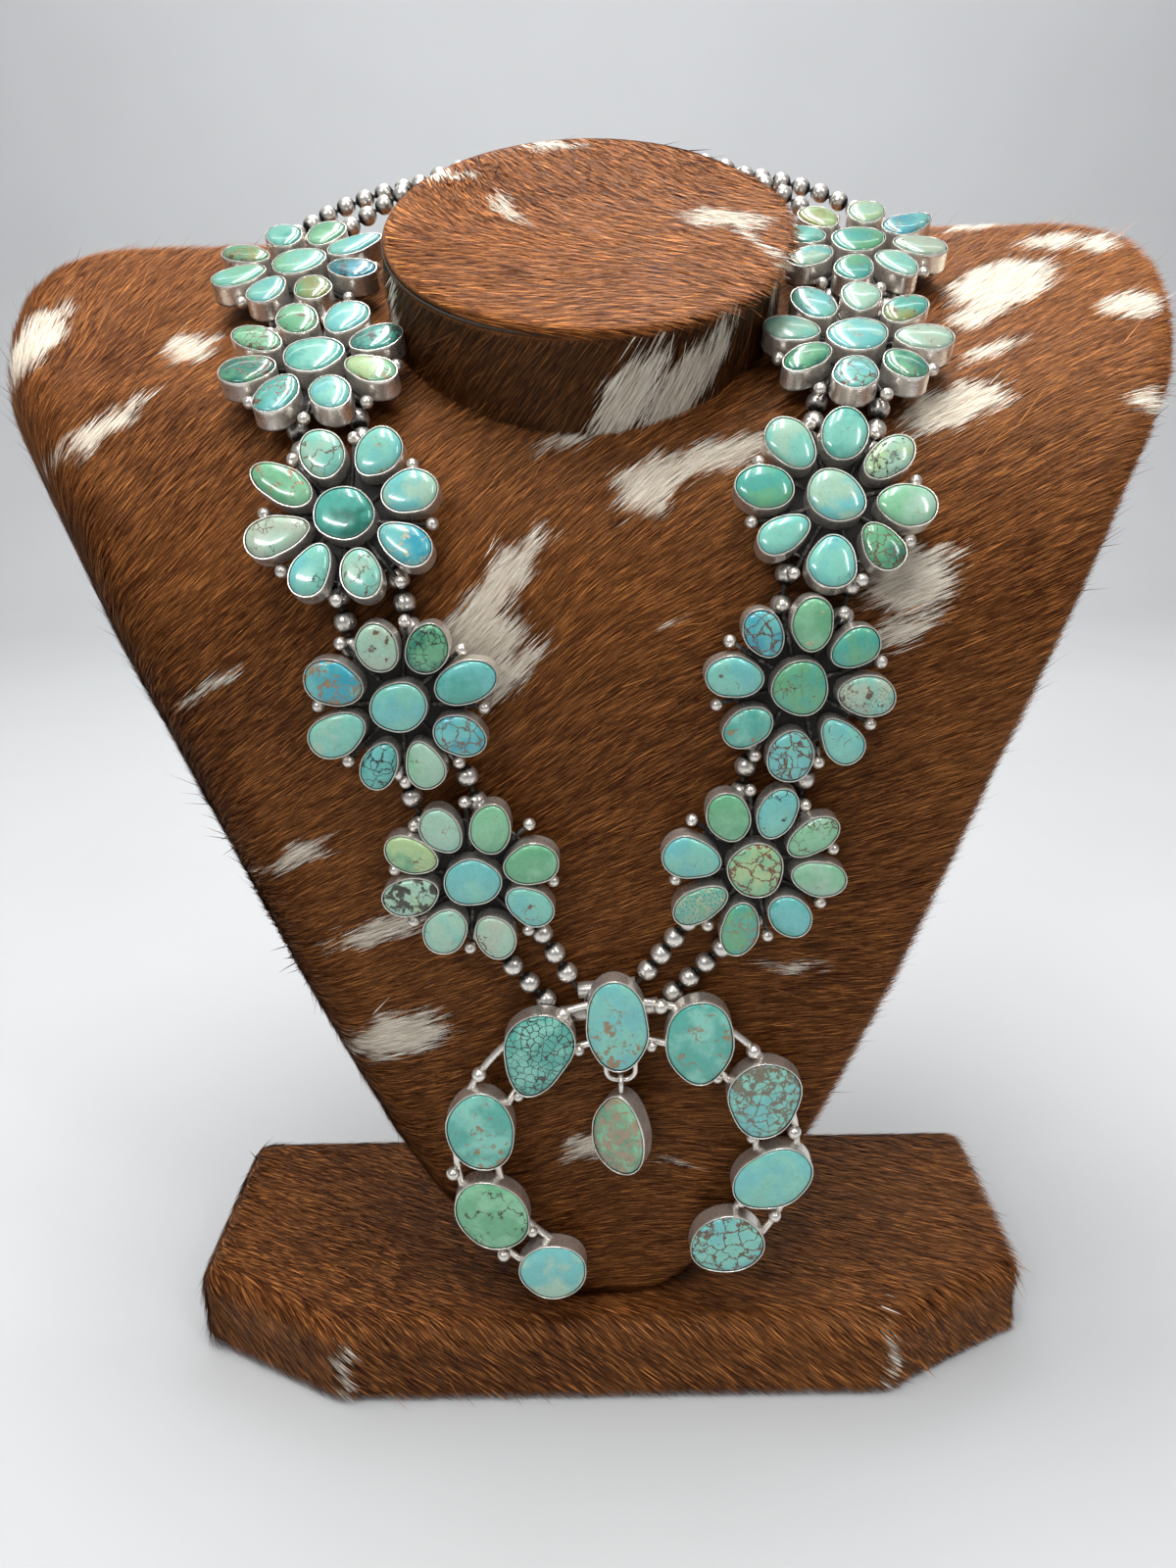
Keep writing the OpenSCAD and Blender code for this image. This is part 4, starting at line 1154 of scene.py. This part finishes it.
def patch_depth(right, up, table):
    """How far inside a light patch a place is, in millimetres; below 0 outside them all."""
    best = np.full(np.shape(right), -99.0)
    # The edges wander by up to about 1.4 mm
    right, up = (right + 0.9 * np.sin(up / 2.3 + right / 7) + 0.5 * np.sin(up / 0.9 + 1.7),
                 up + 0.8 * np.sin(right / 1.9 + up / 5) + 0.5 * np.sin(right / 0.8 + 0.4))
    for x, y, long, wide, slant in table:
        c, s = math.cos(math.radians(slant)), math.sin(math.radians(slant))
        u, v = (right - x) * c + (up - y) * s, (up - y) * c - (right - x) * s
        best = np.maximum(best, (1 - np.hypot(u / long, v / wide)) * max(wide, PATCH_SOFT))
    return best


def laid_flat(flow, rings):
    """A flow over rings of points, without what points out of them."""
    normal = unit(np.cross(np.roll(rings, -1, 1) - np.roll(rings, 1, 1), np.gradient(rings, axis=0)))
    return flow - normal * (flow * normal).sum(-1)[..., None]


def hide_skin(name, node, rings, at, flow, cover, length, pale):
    """A closed skin with the data that the hair needs. Returns its object."""
    work = Build()
    m, n = np.shape(rings)[:2]
    at = np.reshape(at, (m * n, 3))
    work.rings(rings, at=at, flow=np.reshape(flow, (m * n, 3)), cover=np.reshape(cover, m * n), length=length)
    mesh = work.mesh(name)
    give(mesh, "white", np.clip(pale(at) / 2 + 0.5, 0, 1))
    return show(name, mesh, "skin", BUST, "cowhide", node, smooth=180)


def fur_tree():
    """Grows short flat locks over a skin, along the flow that it carries."""
    tree, given = new_tree("short hair", [
        ("Lock", "NodeSocketObject"), ("Density", "NodeSocketFloat"), ("Length", "NodeSocketFloat"),
        ("Width", "NodeSocketFloat"), ("Lift", "NodeSocketFloat"), ("Seed", "NodeSocketInt"),
        ("Finish", "NodeSocketMaterial")])

    def stored(key, kind):
        return add_node(tree, "GeometryNodeInputNamedAttribute", {"data_type": kind}, {"Name": key})

    def dice(number, low=0.0, high=1.0):
        return add_node(tree, "FunctionNodeRandomValue", {"data_type": "FLOAT"},
                        {2: low, 3: high, "Seed": given["Seed"] + number}, 1)

    def vector(operation, *values):
        return vector_math(tree, operation, *values)

    lock = add_node(tree, "GeometryNodeObjectInfo", {}, {"Object": given["Lock"]}, "Geometry")
    spread = add_node(tree, "GeometryNodeDistributePointsOnFaces", {"distribute_method": "RANDOM"}, {
        "Mesh": given["Geometry"], "Density": given["Density"] * stored("cover", "FLOAT"), "Seed": given["Seed"]})
    normal = Wire(tree, spread.socket.node.outputs["Normal"])
    stray = dice(1).between(0.98, 1.0)  # above 0 for one hair in fifty, which stands off and is longer
    points = add_node(tree, "GeometryNodeStoreNamedAttribute", {"data_type": "FLOAT", "domain": "POINT"},
                      {"Geometry": spread, "Name": "shade", "Value": dice(2)})
    toss = add_node(tree, "FunctionNodeRandomValue", {"data_type": "FLOAT_VECTOR"},
                    {0: (-1, -1, -1), 1: (1, 1, 1), "Seed": given["Seed"] + 3}, 0)
    wave = add_node(tree, "ShaderNodeTexNoise", {}, {"Scale": 55.0, "Detail": 2.0}, 1)
    wave = vector("SUBTRACT", wave, (0.5, 0.5, 0.5))
    way = vector("ADD", stored("flow", "FLOAT_VECTOR"), scale_vector(tree, toss, 0.06 + 0.3 * stray))
    way = vector("ADD", way, scale_vector(tree, wave, 0.22))
    way = vector("ADD", way, scale_vector(tree, normal, given["Lift"] * (0.5 + dice(4)) * (1.0 + 1.3 * stray)))
    side = vector("ADD", normal, scale_vector(tree, toss, 0.25))
    turn = add_node(tree, "FunctionNodeAxesToRotation", {"primary_axis": "X", "secondary_axis": "Z"},
                    {0: way, 1: side})
    size = given["Length"] * (0.6 + 0.55 * dice(5) + 0.45 * stray) * stored("length", "FLOAT")
    scale = add_node(tree, "ShaderNodeCombineXYZ", {}, {0: size, 1: given["Width"] * dice(6, 0.6, 1.3), 2: size})
    hairs = add_node(tree, "GeometryNodeInstanceOnPoints", {}, {
        "Points": points, "Instance": lock, "Rotation": turn, "Scale": scale})
    end_tree(tree, hairs, given["Finish"])
    return tree


# In metres: hair ends stay this high above the floor, and a streak of like hair is this wide. It reaches this
# many steps each way, each this share of its width.
HAIR_CLEAR = 0.0005
STREAK_WIDTH = 0.00045
STREAK_STEPS = 7
STREAK_STRIDE = 1.4
# How far a light patch's edge moves in or out, in mm: with the streaks, and by chance.
STREAK_REACH = 3.4
EDGE_CHANCE = 0.6
# Place of a hair's three corners in its bake map, as a share of the map
HAIR_CORNERS = np.array([(0, 0), (0.0035, 0.0012), (0.0, 0.0024)])


def lock_object():
    """One lock of short hair: a single face that narrows to its tip, a unit long and wide."""
    mesh = bpy.data.meshes.new("lock")
    mesh.from_pydata([(0, -0.5, 0), (1, 0, 0), (0, 0.5, 0)], [], [(0, 1, 2)])
    give(mesh, "along", [0.0, 1.0, 0.0])
    return placed("lock", mesh)


def streaks(root, tip):
    """A value from 0 to 1 for each hair, like those before and behind it, so the hide is streaked."""
    way = unit(tip - root)
    total = np.zeros(len(root))
    for k in range(-STREAK_STEPS, STREAK_STEPS + 1):
        x, y, z = np.floor(root / STREAK_WIDTH + way * STREAK_STRIDE * k).astype(np.int64).T
        # The same large odd numbers mix every cell's place into its own value
        number = x * 73856093 ^ y * 19349663 ^ z * 83492791
        number = (number ^ (number >> 13)) * 1274126177 & 0xFFFFFFFF
        total += ((number ^ (number >> 15)) & 0xFFFF) / 65535.0
    return np.clip(0.5 + 0.27 * (total - total.mean()) / total.std(), 0, 1)


def grow_fur(name, skin, tree, lock, density, pale, seed, keep=None, length=1.0, width=1.0, painted_shade_and_sheen=0.0):
    """Grows one piece of fur on a skin, whitens its patches and lays out its bake map by the hairs' roots."""
    s = bpy.context.scene.necklace_hide
    source = placed("fur_source", skin.data.copy())
    if keep is not None:
        cover = source.data.attributes["cover"].data
        at = read(source.data.attributes["at"].data, "vector", 3)
        cover.foreach_set("value", read(cover, "value") * keep(at).astype(np.float32))
    mesh = grown(source, tree, {
        "Lock": lock, "Density": density, "Length": s.hair * length, "Width": s.width * width,
        "Lift": math.tan(s.lift), "Seed": s.seed + seed, "Finish": finish_of("hair")})
    bpy.data.objects.remove(source)
    # Each hair is three points: two at its root and, between them, its tip
    root = read(mesh.attributes["at"].data, "vector", 3)[::3]
    spots = read(mesh.vertices, "co", 3)
    streak = streaks((spots[::3] + spots[2::3]) / 2, spots[1::3])
    dice = np.random.default_rng(seed)
    chance = dice.uniform(-EDGE_CHANCE, EDGE_CHANCE, len(root))
    white = (pale(root) + STREAK_REACH * (streak - 0.5) + chance > 0).astype(np.float32)
    for key in ("at", "flow", "cover", "length", "white"):
        mesh.attributes.remove(mesh.attributes[key])
    # Every hair also carries its piece's painted shade, which lightens it as painted sheen when below 0
    for key, values in (("white", white), ("lock", streak), ("painted_shade_and_sheen", np.full(len(root), painted_shade_and_sheen))):
        give(mesh, key, np.repeat(values, 3))
    while mesh.uv_layers:
        mesh.uv_layers.remove(mesh.uv_layers[0])
    low, span = root.min(0), np.maximum(np.ptp(root, axis=0), 1)
    flat = (root[:, :2] - low[:2]) / span[:2] * 0.97 + 0.01
    corner = read(mesh.loops, "vertex_index", 1, int)
    uv = flat[corner // 3] + HAIR_CORNERS[corner % 3]
    mesh.uv_layers.new(name="OFBake").data.foreach_set("uv", uv.astype(np.float32).ravel())
    spots[:, 2] = np.maximum(spots[:, 2], HAIR_CLEAR)
    mesh.vertices.foreach_set("co", spots.ravel())
    mesh.name = name
    return show(name, mesh, "hair", BUST, "cowhide", smooth=180)


def flat_points(count, half, level, side):
    """A straight run of the bust's section: right, above the hide, and side."""
    return [((1 - 2 * (k + 0.5) / count) * half, level, side) for k in range(count)]


def corner_points(right, level, radius, start, side, step):
    """A quarter turn of the bust's section, from a start in degrees and over a step of the side."""
    points = []
    for k in range(7):
        a = math.radians(start + 90 * k / 6)
        points.append((right + radius * math.cos(a), level + radius * math.sin(a), side + step * k / 6))
    return points


def form_rings():
    """The bust's sections and, at each point, where it is on the hide: right, up and which side (0 front to 1 back)."""
    close = 20  # over this last stretch the rows come closer and closer
    ups = np.concatenate([
        np.arange(0, FORM_LEN - close, 3.6), FORM_LEN - close * np.cos(np.linspace(0, math.pi / 2, 12))])
    ups = np.unique(np.clip(ups, 0, FORM_LEN))
    share = ups / FORM_LEN
    half = np.interp(share, OUTLINE[:, 0], OUTLINE[:, 1]) * HALF_W
    inset = np.interp(share, OUTLINE[:, 0], OUTLINE[:, 2]) * FORM_ROUND
    soft = half.copy()
    soft[2:-3] = (half[1:-4] + half[2:-3] * 2 + half[3:-2]) / 4
    rings, at = [], []
    for up, half_wide, cut in zip(ups, soft, inset):
        r = FORM_ROUND - 0.6 * cut
        front, back = -cut - SKIN_IN, cut - FORM_T + SKIN_IN
        side = half_wide - SKIN_IN - r
        row = np.array(
            flat_points(90, side, front, 0)
            + corner_points(-side, front - r, r, 90, 0.05, 0.4) + corner_points(-side, back + r, r, 180, 0.55, 0.4)
            + flat_points(44, -side, back, 1)
            + corner_points(side, back + r, r, 270, 0.95, -0.4) + corner_points(side, front - r, r, 0, 0.45, -0.4))
        rings.append(place(row[:, 0], up, row[:, 1]))
        at.append(np.column_stack([row[:, 0], np.full(len(row), up), row[:, 2]]))
    return np.array(rings), np.array(at)


def pale_form(at):
    """Depth in the bust's light patches. Its back has every third one, mirrored and moved."""
    front = patch_depth(at[:, 0], at[:, 1], PATCHES)
    back = patch_depth(-at[:, 0] + 20, at[:, 1] - 30, PATCHES[::3])
    return np.where(at[:, 2] < 0.45, front, back)


def cover_form():
    rings, at = form_rings()
    slant = np.radians(flow_angle(at[..., 0], at[..., 1]))
    a = bend_at(at[..., 1])
    along = np.stack([np.zeros_like(a), np.sin(a), np.cos(a)], -1)
    flow = np.array((1.0, 0, 0)) * np.cos(slant)[..., None] + along * np.sin(slant)[..., None]
    # Hair lies flat where the hide turns over the edges
    flow = unit(laid_flat(flow, rings) + along * 0.12)
    under = np.hypot(at[..., 0], at[..., 1] - NECK_UP) < NECK_R - 3
    cover = np.where(under & (at[..., 2] < 0.5), 0.0, 1.0)
    cover = np.where(at[..., 2] > 0.5, 0.5, cover)
    return hide_skin("hide_skin", "bust_form", rings, at, flow, cover, 1.0, pale_form)


# Light patches of the neck: way round it from the front in degrees, height, half sizes, slant
NECK_PATCHES = [(14, 9, 14, 6, 60), (29, 7, 14, 6.5, 56), (41, 14, 11, 3.5, 58), (-66, 14, 13, 2.2, 82),
                (73, 20, 11, 2.6, 80), (150, 10, 12, 5, 60), (-140, 15, 9, 4, 70)]
# The same on its round top: right, up, half sizes, slant; then the way the hair lies there: right, up, slant
DISC_PATCHES = [(-10, 47, 7, 1.8, 5), (-36, 31, 5, 2, 10), (-21, 11, 8.5, 1.7, -69), (33, 1, 11, 4, -15),
                (41, -11, 11, 1.4, -64)]
DISC_FLOW = np.array([(-36, 28, -80), (-22, 10, -68), (0, 2, -38), (0, -36, -10), (33, 2, -35), (28, 32, -68),
                      (40, -20, -50), (-36, -20, -14), (0, 36, -62)], dtype=float)


def neck_circle(radius, height, t):
    """Points round the neck, at angles from its front."""
    return np.column_stack([radius * np.sin(t), -radius * np.cos(t), np.full(len(t), height)])


def neck_rings():
    seat = Seat(0, NECK_UP)
    rings, at = [], []
    rows = [(NECK_R - 0.3, h) for h in np.arange(-13, NECK_H - 0.5, 2.0)]
    rows += [(NECK_R - 0.3, NECK_H - 0.8), (NECK_R - 0.9, NECK_H - 0.3)]
    t = np.radians(np.arange(150) * 2.4)
    degrees = (np.degrees(t) + 180) % 360 - 180
    for r, h in rows:
        rings.append(seat.out(neck_circle(r, h, t)))
        at.append(np.column_stack([degrees, np.full(150, h), np.zeros(150)]))
    return seat, np.array(rings), np.array(at)


def neck_run(degrees):
    """The way round the neck from its front, in mm."""
    return degrees / 57.3 * NECK_R


def pale_neck(at):
    table = [(neck_run(a), h, long, wide, slant) for a, h, long, wide, slant in NECK_PATCHES]
    return patch_depth(neck_run(at[:, 0]), at[:, 1], table)


def cover_neck():
    seat, rings, at = neck_rings()
    t = np.radians(at[..., 0])
    tangent = (np.stack([np.cos(t), np.sin(t), np.zeros_like(t)], -1)) @ seat.axes
    flow = -0.80 * seat.axes[2] - 0.60 * tangent
    cover = np.where(at[..., 1] < -7, 0.0, 1.0)
    return hide_skin("neck_skin", "neck_stump", rings, at, flow, cover, 0.9, pale_neck)


def pale_disc(at):
    return patch_depth(at[:, 0], at[:, 1], DISC_PATCHES)


def cover_disc():
    """The round top of the neck with its folded edge."""
    seat = Seat(0, NECK_UP)
    t = np.radians(np.arange(120) * 3.0)
    # Radius and height: the folded edge, then rings in to the middle
    rows = [(NECK_R - 2, NECK_H), (NECK_R - 0.7, NECK_H + 0.2), (NECK_R - 0.4, NECK_H + 1.0),
            (NECK_R - 0.8, NECK_H + 1.6), (NECK_R - 2.0, NECK_H + DISC_T - 0.25)]
    rows += [(r, NECK_H + DISC_T - 0.2) for r in np.arange(NECK_R - 5, 1, -3.0)]
    at = np.array([neck_circle(r, h, t) for r, h in rows])
    rings = [seat.out(flat) for flat in at]
    slant = np.radians(flow_angle(at[..., 0], at[..., 1], DISC_FLOW, 2))
    flow = np.cos(slant)[..., None] * seat.axes[0] + np.sin(slant)[..., None] * seat.axes[1]
    cover = np.where(at[..., 2] < NECK_H + 0.1, 0.0, 1.0)
    return hide_skin("disc_skin", "neck_disc", rings, at, flow, cover, 0.9, pale_disc)


def base_corners(inset):
    w, f, b = BASE_W / 2 - inset, BASE_FRONT_W / 2 - inset * 0.55, BASE_D / 2 - inset
    cut = BASE_CUT_D - inset * 0.4
    return np.array([(-w, b), (-w, -b + cut), (-f, -b), (f, -b), (w, -b + cut), (w, b)])


def round_line(corners, radius, step):
    """A closed outline with rounded corners and even steps along it."""
    points = []
    n = len(corners)
    for i in range(n):
        a, b, c = corners[i - 1], corners[i], corners[(i + 1) % n]
        u, v = (a - b) / np.linalg.norm(a - b), (c - b) / np.linalg.norm(c - b)
        half = math.acos(np.clip(u @ v, -1, 1)) / 2
        cut = radius / math.tan(half)
        p, q = b + u * cut, b + v * cut
        for t in np.linspace(0, 1, 7):
            points.append((1 - t) ** 2 * p + 2 * t * (1 - t) * b + t ** 2 * q)
    points = np.array(points)
    gaps = np.linalg.norm(np.roll(points, -1, 0) - points, axis=1)
    marks = np.concatenate([[0], np.cumsum(gaps)])
    count = int(marks[-1] / step)
    closed = np.vstack([points, points[:1]])
    where = np.arange(count) * marks[-1] / count
    return np.column_stack([np.interp(where, marks, closed[:, k]) for k in (0, 1)])


# Light patches on the front of the base: right, up, half sizes, slant
BASE_PATCHES = [(-79.5, 14, 9, 1.0, 88), (79.5, 14, 9, 1.0, 92)]


def cover_base():
    """The hide-covered block under the bust."""
    line = round_line(base_corners(BASE_IN), 3.0, 3.0)
    middle = np.array([0.0, 5.0])  # the side's rings shrink towards it
    width = np.abs(line - middle).max(0)
    profile = [(0, z) for z in (2.9, 5, 9, 13, 17, 21)]
    profile += [(BASE_ROUND * (1 - math.cos(a)), BASE_H - BASE_ROUND - BASE_IN + BASE_ROUND * math.sin(a))
                for a in np.radians((15, 30, 45, 60, 75, 90))]
    # Two shares of the outline's size and the height of each ring: up the side, then in over the top
    rows = [(1 - inset / width, 1, z) for inset, z in profile]
    rows += [(share, 1 - (BASE_ROUND - BASE_IN) / width, BASE_H - BASE_IN)
             for share in (0.94, 0.85, 0.75, 0.65, 0.55, 0.45, 0.35, 0.25, 0.15, 0.06)]
    rings, at = [], []
    for share, rest, z in rows:
        ring = middle + (line - middle) * share * rest
        level = np.full(len(ring), z)
        rings.append(np.column_stack([ring, level]))
        at.append(np.column_stack([ring[:, 0], level, ring[:, 1]]))
    rings, at = np.array(rings), np.array(at)
    flow = unit(laid_flat(np.broadcast_to(np.array((0.72, -0.45, -0.52)), rings.shape), rings))
    cover = np.where(at[..., 1] < 3.5, 0.0, 1.0)
    return hide_skin("base_skin", "base_block", rings, at, flow, cover, 1.0, pale_base)


def pale_base(at):
    """Depth in the light patches of the base, which are on its front only."""
    front = patch_depth(at[:, 0], at[:, 1], BASE_PATCHES)
    return np.where(at[:, 2] < -30, front, -99.0)


def seam_cord():
    """A thin cord along the front edge of the neck's round top."""
    t = np.radians(np.linspace(-178, 178, 180))
    work = Build()
    add_wire(work, Seat(0, NECK_UP).out(neck_circle(NECK_R - 0.35, NECK_H - 0.05, t)), SEAM_R, oxide=0.5, sides=8)
    work.show("neck_seam", "seam", BUST, "cowhide", smooth=180)


def front_band(low, high):
    """Keeps the hair of the bust's front between two heights along the hide."""
    return lambda at: (at[:, 2] < 0.5) & (at[:, 1] >= low) & (at[:, 1] < high)


def behind(at):
    return at[:, 2] >= 0.5


def grow_hide():
    tree = fur_tree()
    lock = lock_object()
    form = cover_form()
    neck = cover_neck()
    disc = cover_disc()
    base = cover_base()
    seam_cord()
    thin = 1.0
    # Hairs to a square metre, light patches, seed, then what differs from plain hair, with painted shade that darkens
    # the neck and the base and painted sheen that lightens the shoulders and the round top
    for name, skin, density, pale, seed, more in (
            ("fur_chest_low", form, 5.7e6, pale_form, 11, {"keep": front_band(-1, 170)}),
            ("fur_chest_high", form, 5.7e6, pale_form, 12, {"keep": front_band(170, 262)}),
            ("fur_shoulders", form, 5.7e6, pale_form, 13, {"keep": front_band(262, 999), "painted_shade_and_sheen": -0.12}),
            ("fur_back", form, 1.8e6, pale_form, 14, {"keep": behind, "width": 2.2}),
            ("fur_neck", neck, 2.6e6, pale_neck, 15, {"width": 1.4, "painted_shade_and_sheen": 0.6}),
            ("fur_disc", disc, 5.2e6, pale_disc, 16, {"width": 1.25, "painted_shade_and_sheen": -0.52}),
            ("fur_base", base, 2.0e6, pale_base, 17, {"width": 1.8, "length": 0.9, "painted_shade_and_sheen": 0.08})):
        grow_fur(name, skin, tree, lock, density * thin, pale, seed, **more)
    bpy.data.objects.remove(lock)
    paint("base_felt", "felt")


# ---------------------------------------------------------------- stage


def build_stage():
    s = bpy.context.scene.necklace_stage
    # A floor that curves up into a backdrop, in metres
    near, curve_at, curve_r, top, half = -3.0, 1.1, 0.5, 3.0, 4.0
    turns = [math.pi / 2 * k / 12 for k in range(13)]
    rows = [(near, 0.0)]
    rows += [(curve_at + curve_r * math.sin(a), curve_r - curve_r * math.cos(a)) for a in turns]
    rows += [(curve_at + curve_r, top)]
    points = [(x, y, z) for y, z in rows for x in (-half, half)]
    faces = [(2 * i, 2 * i + 1, 2 * i + 3, 2 * i + 2) for i in range(len(rows) - 1)]
    mesh = bpy.data.meshes.new("floor")
    mesh.from_pydata(points, [], faces)
    mesh.materials.append(finish_of("floor"))
    mesh.polygons.foreach_set("use_smooth", [True] * len(mesh.polygons))
    placed("floor", mesh)
    # The big soft light shines without showing in the polish; the two long tubes and the sheen only show there.
    # Each row: place, aim, size, watts, colour, then whether it lights surfaces and whether it shows in them
    for name, at, look, size, power, colour, seen in (
            ("key", (-0.1, -0.05, 1.5), (0, 0, 0.2), (1.1, 0.8), s.key * 3.4, (1.0, 0.985, 0.96), (True, False)),
            ("sheen", (-0.1, -0.05, 1.5), (0, 0, 0.2), (1.1, 0.8), s.key * 0.35, (1.0, 0.985, 0.96), (False, True)),
            ("tube_a", (-0.16, 0.2, 1.3), (-0.16, 0.2, 0.2), (0.09, 1.6), s.key * 0.9, (1, 1, 1), (False, True)),
            ("tube_b", (0.12, 0.2, 1.3), (0.12, 0.2, 0.2), (0.09, 1.6), s.key * 0.9, (1, 1, 1), (False, True)),
            ("window", (-0.5, -0.95, 1.0), (0, 0, 0.2), (0.5, 0.1), s.key * 0.45, (0.98, 0.99, 1.0), (True, True)),
            ("strip", (0.62, -0.75, 1.0), (0, 0, 0.2), (0.1, 0.4), s.key * 0.25, (1.0, 0.98, 0.95), (True, True)),
            ("back", (0.0, 0.9, 1.3), (0, 0, 0.25), (1.2, 0.5), s.key * 0.4, (1.0, 1.0, 1.0), (True, False)),
            ("wash", (0.0, 0.5, 1.5), (0, 1.6, 0.9), (2.0, 0.3), s.key * 1.6, (1.0, 1.0, 1.0), (True, True))):
        light = bpy.data.lights.new(name, "AREA")
        light.shape = "RECTANGLE"
        light.size, light.size_y = size
        light.energy = power
        light.color = colour
        lamp = placed(name, light)
        lamp.location = at
        lamp.rotation_euler = (Vector(look) - Vector(at)).to_track_quat("-Z", "Y").to_euler()
        lamp.visible_diffuse, lamp.visible_glossy = seen
    world = bpy.data.worlds.new("studio")
    world.use_nodes = True
    sky = world.node_tree.nodes["Background"]
    sky.inputs["Color"].default_value = (0.93, 0.95, 1.0, 1)
    sky.inputs["Strength"].default_value = 0.22
    bpy.context.scene.world = world
    bpy.context.scene.view_settings.view_transform = "Standard"


def build_camera():
    """The photograph's place, tilt, roll and turn."""
    s = bpy.context.scene.necklace_stage
    spot = (0.00275, -0.31384, 0.28210)
    tilt, roll, yaw = 0.32842, -0.02678, -0.01457
    ahead = Vector((math.sin(yaw) * math.cos(tilt), math.cos(yaw) * math.cos(tilt), -math.sin(tilt)))
    right = Vector((math.cos(yaw), -math.sin(yaw), 0))
    up = right.cross(ahead)
    across = right * math.cos(roll) + up * math.sin(roll)
    above = up * math.cos(roll) - right * math.sin(roll)
    camera = bpy.data.cameras.new("camera")
    camera.lens = s.lens
    camera.sensor_width = 36
    camera.sensor_fit = "AUTO"
    camera.clip_start, camera.clip_end = 0.01, 20
    eye = placed("camera", camera)
    turn = Matrix((across, above, -ahead)).transposed()
    eye.matrix_world = Matrix.Translation(spot) @ turn.to_4x4()
    bpy.context.scene.camera = eye


# ---------------------------------------------------------------- operators


class NECKLACE_OT_stage(bpy.types.Operator):
    """Makes the pale floor, the soft lights and the camera"""

    bl_idname = "necklace.stage"
    bl_label = "Stage and camera"

    def execute(self, context):
        build_stage()
        build_camera()
        return {"FINISHED"}


class NECKLACE_OT_clusters(bpy.types.Operator):
    """Sets the stones of the ten clusters in their silver"""

    bl_idname = "necklace.clusters"
    bl_label = "Clusters"

    def execute(self, context):
        for side in CLUSTERS:
            for number in range(1, 6):
                dress_cluster(side, number)
        return {"FINISHED"}


class NECKLACE_OT_naja(bpy.types.Operator):
    """Makes the naja: its stones, wires, balls and loop"""

    bl_idname = "necklace.naja"
    bl_label = "Naja"

    def execute(self, context):
        dress_naja()
        return {"FINISHED"}


class NECKLACE_OT_drop(bpy.types.Operator):
    """Makes the drop that swings in the naja"""

    bl_idname = "necklace.drop"
    bl_label = "Drop"

    def execute(self, context):
        dress_drop()
        return {"FINISHED"}


class NECKLACE_OT_beads(bpy.types.Operator):
    """Strings the silver beads and closes the strands with their clasp"""

    bl_idname = "necklace.beads"
    bl_label = "Beads and clasp"

    def execute(self, context):
        string_beads()
        dress_clasp()
        return {"FINISHED"}


class NECKLACE_OT_hide(bpy.types.Operator):
    """Covers the bust, its neck and its base with short-haired hide"""

    bl_idname = "necklace.hide"
    bl_label = "Hide"

    def execute(self, context):
        grow_hide()
        return {"FINISHED"}


class NECKLACE_PT_panel(bpy.types.Panel):
    """Lists the pieces' operators and their settings"""

    bl_label = "Squash blossom necklace"
    bl_idname = "NECKLACE_PT_panel"
    bl_space_type = "VIEW_3D"
    bl_region_type = "UI"
    bl_category = "Necklace"

    def draw(self, context):
        layout = self.layout
        for kind in OPERATORS:
            layout.operator(kind.bl_idname)
        for name, group in GROUPS.items():
            box = layout.box()
            box.label(text=group.__name__.replace("Necklace", ""))
            settings = getattr(context.scene, name)
            for key in group.__annotations__:
                box.prop(settings, key)


OPERATORS = [NECKLACE_OT_stage, NECKLACE_OT_clusters, NECKLACE_OT_naja, NECKLACE_OT_drop, NECKLACE_OT_beads,
             NECKLACE_OT_hide]
GROUPS = {"necklace_silver": NecklaceSilver, "necklace_stones": NecklaceStones, "necklace_beads": NecklaceBeads,
          "necklace_hide": NecklaceHide, "necklace_stage": NecklaceStage}


def register():
    for kind in [*GROUPS.values(), *OPERATORS, NECKLACE_PT_panel]:
        bpy.utils.register_class(kind)
    for name, group in GROUPS.items():
        setattr(bpy.types.Scene, name, PointerProperty(type=group))


def unregister():
    for name in GROUPS:
        delattr(bpy.types.Scene, name)
    for kind in reversed([*GROUPS.values(), *OPERATORS, NECKLACE_PT_panel]):
        bpy.utils.unregister_class(kind)


def main():
    register()
    for kind in OPERATORS:
        group, name = kind.bl_idname.split(".")
        getattr(getattr(bpy.ops, group), name)()
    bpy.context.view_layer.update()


if __name__ == "__main__":
    main()
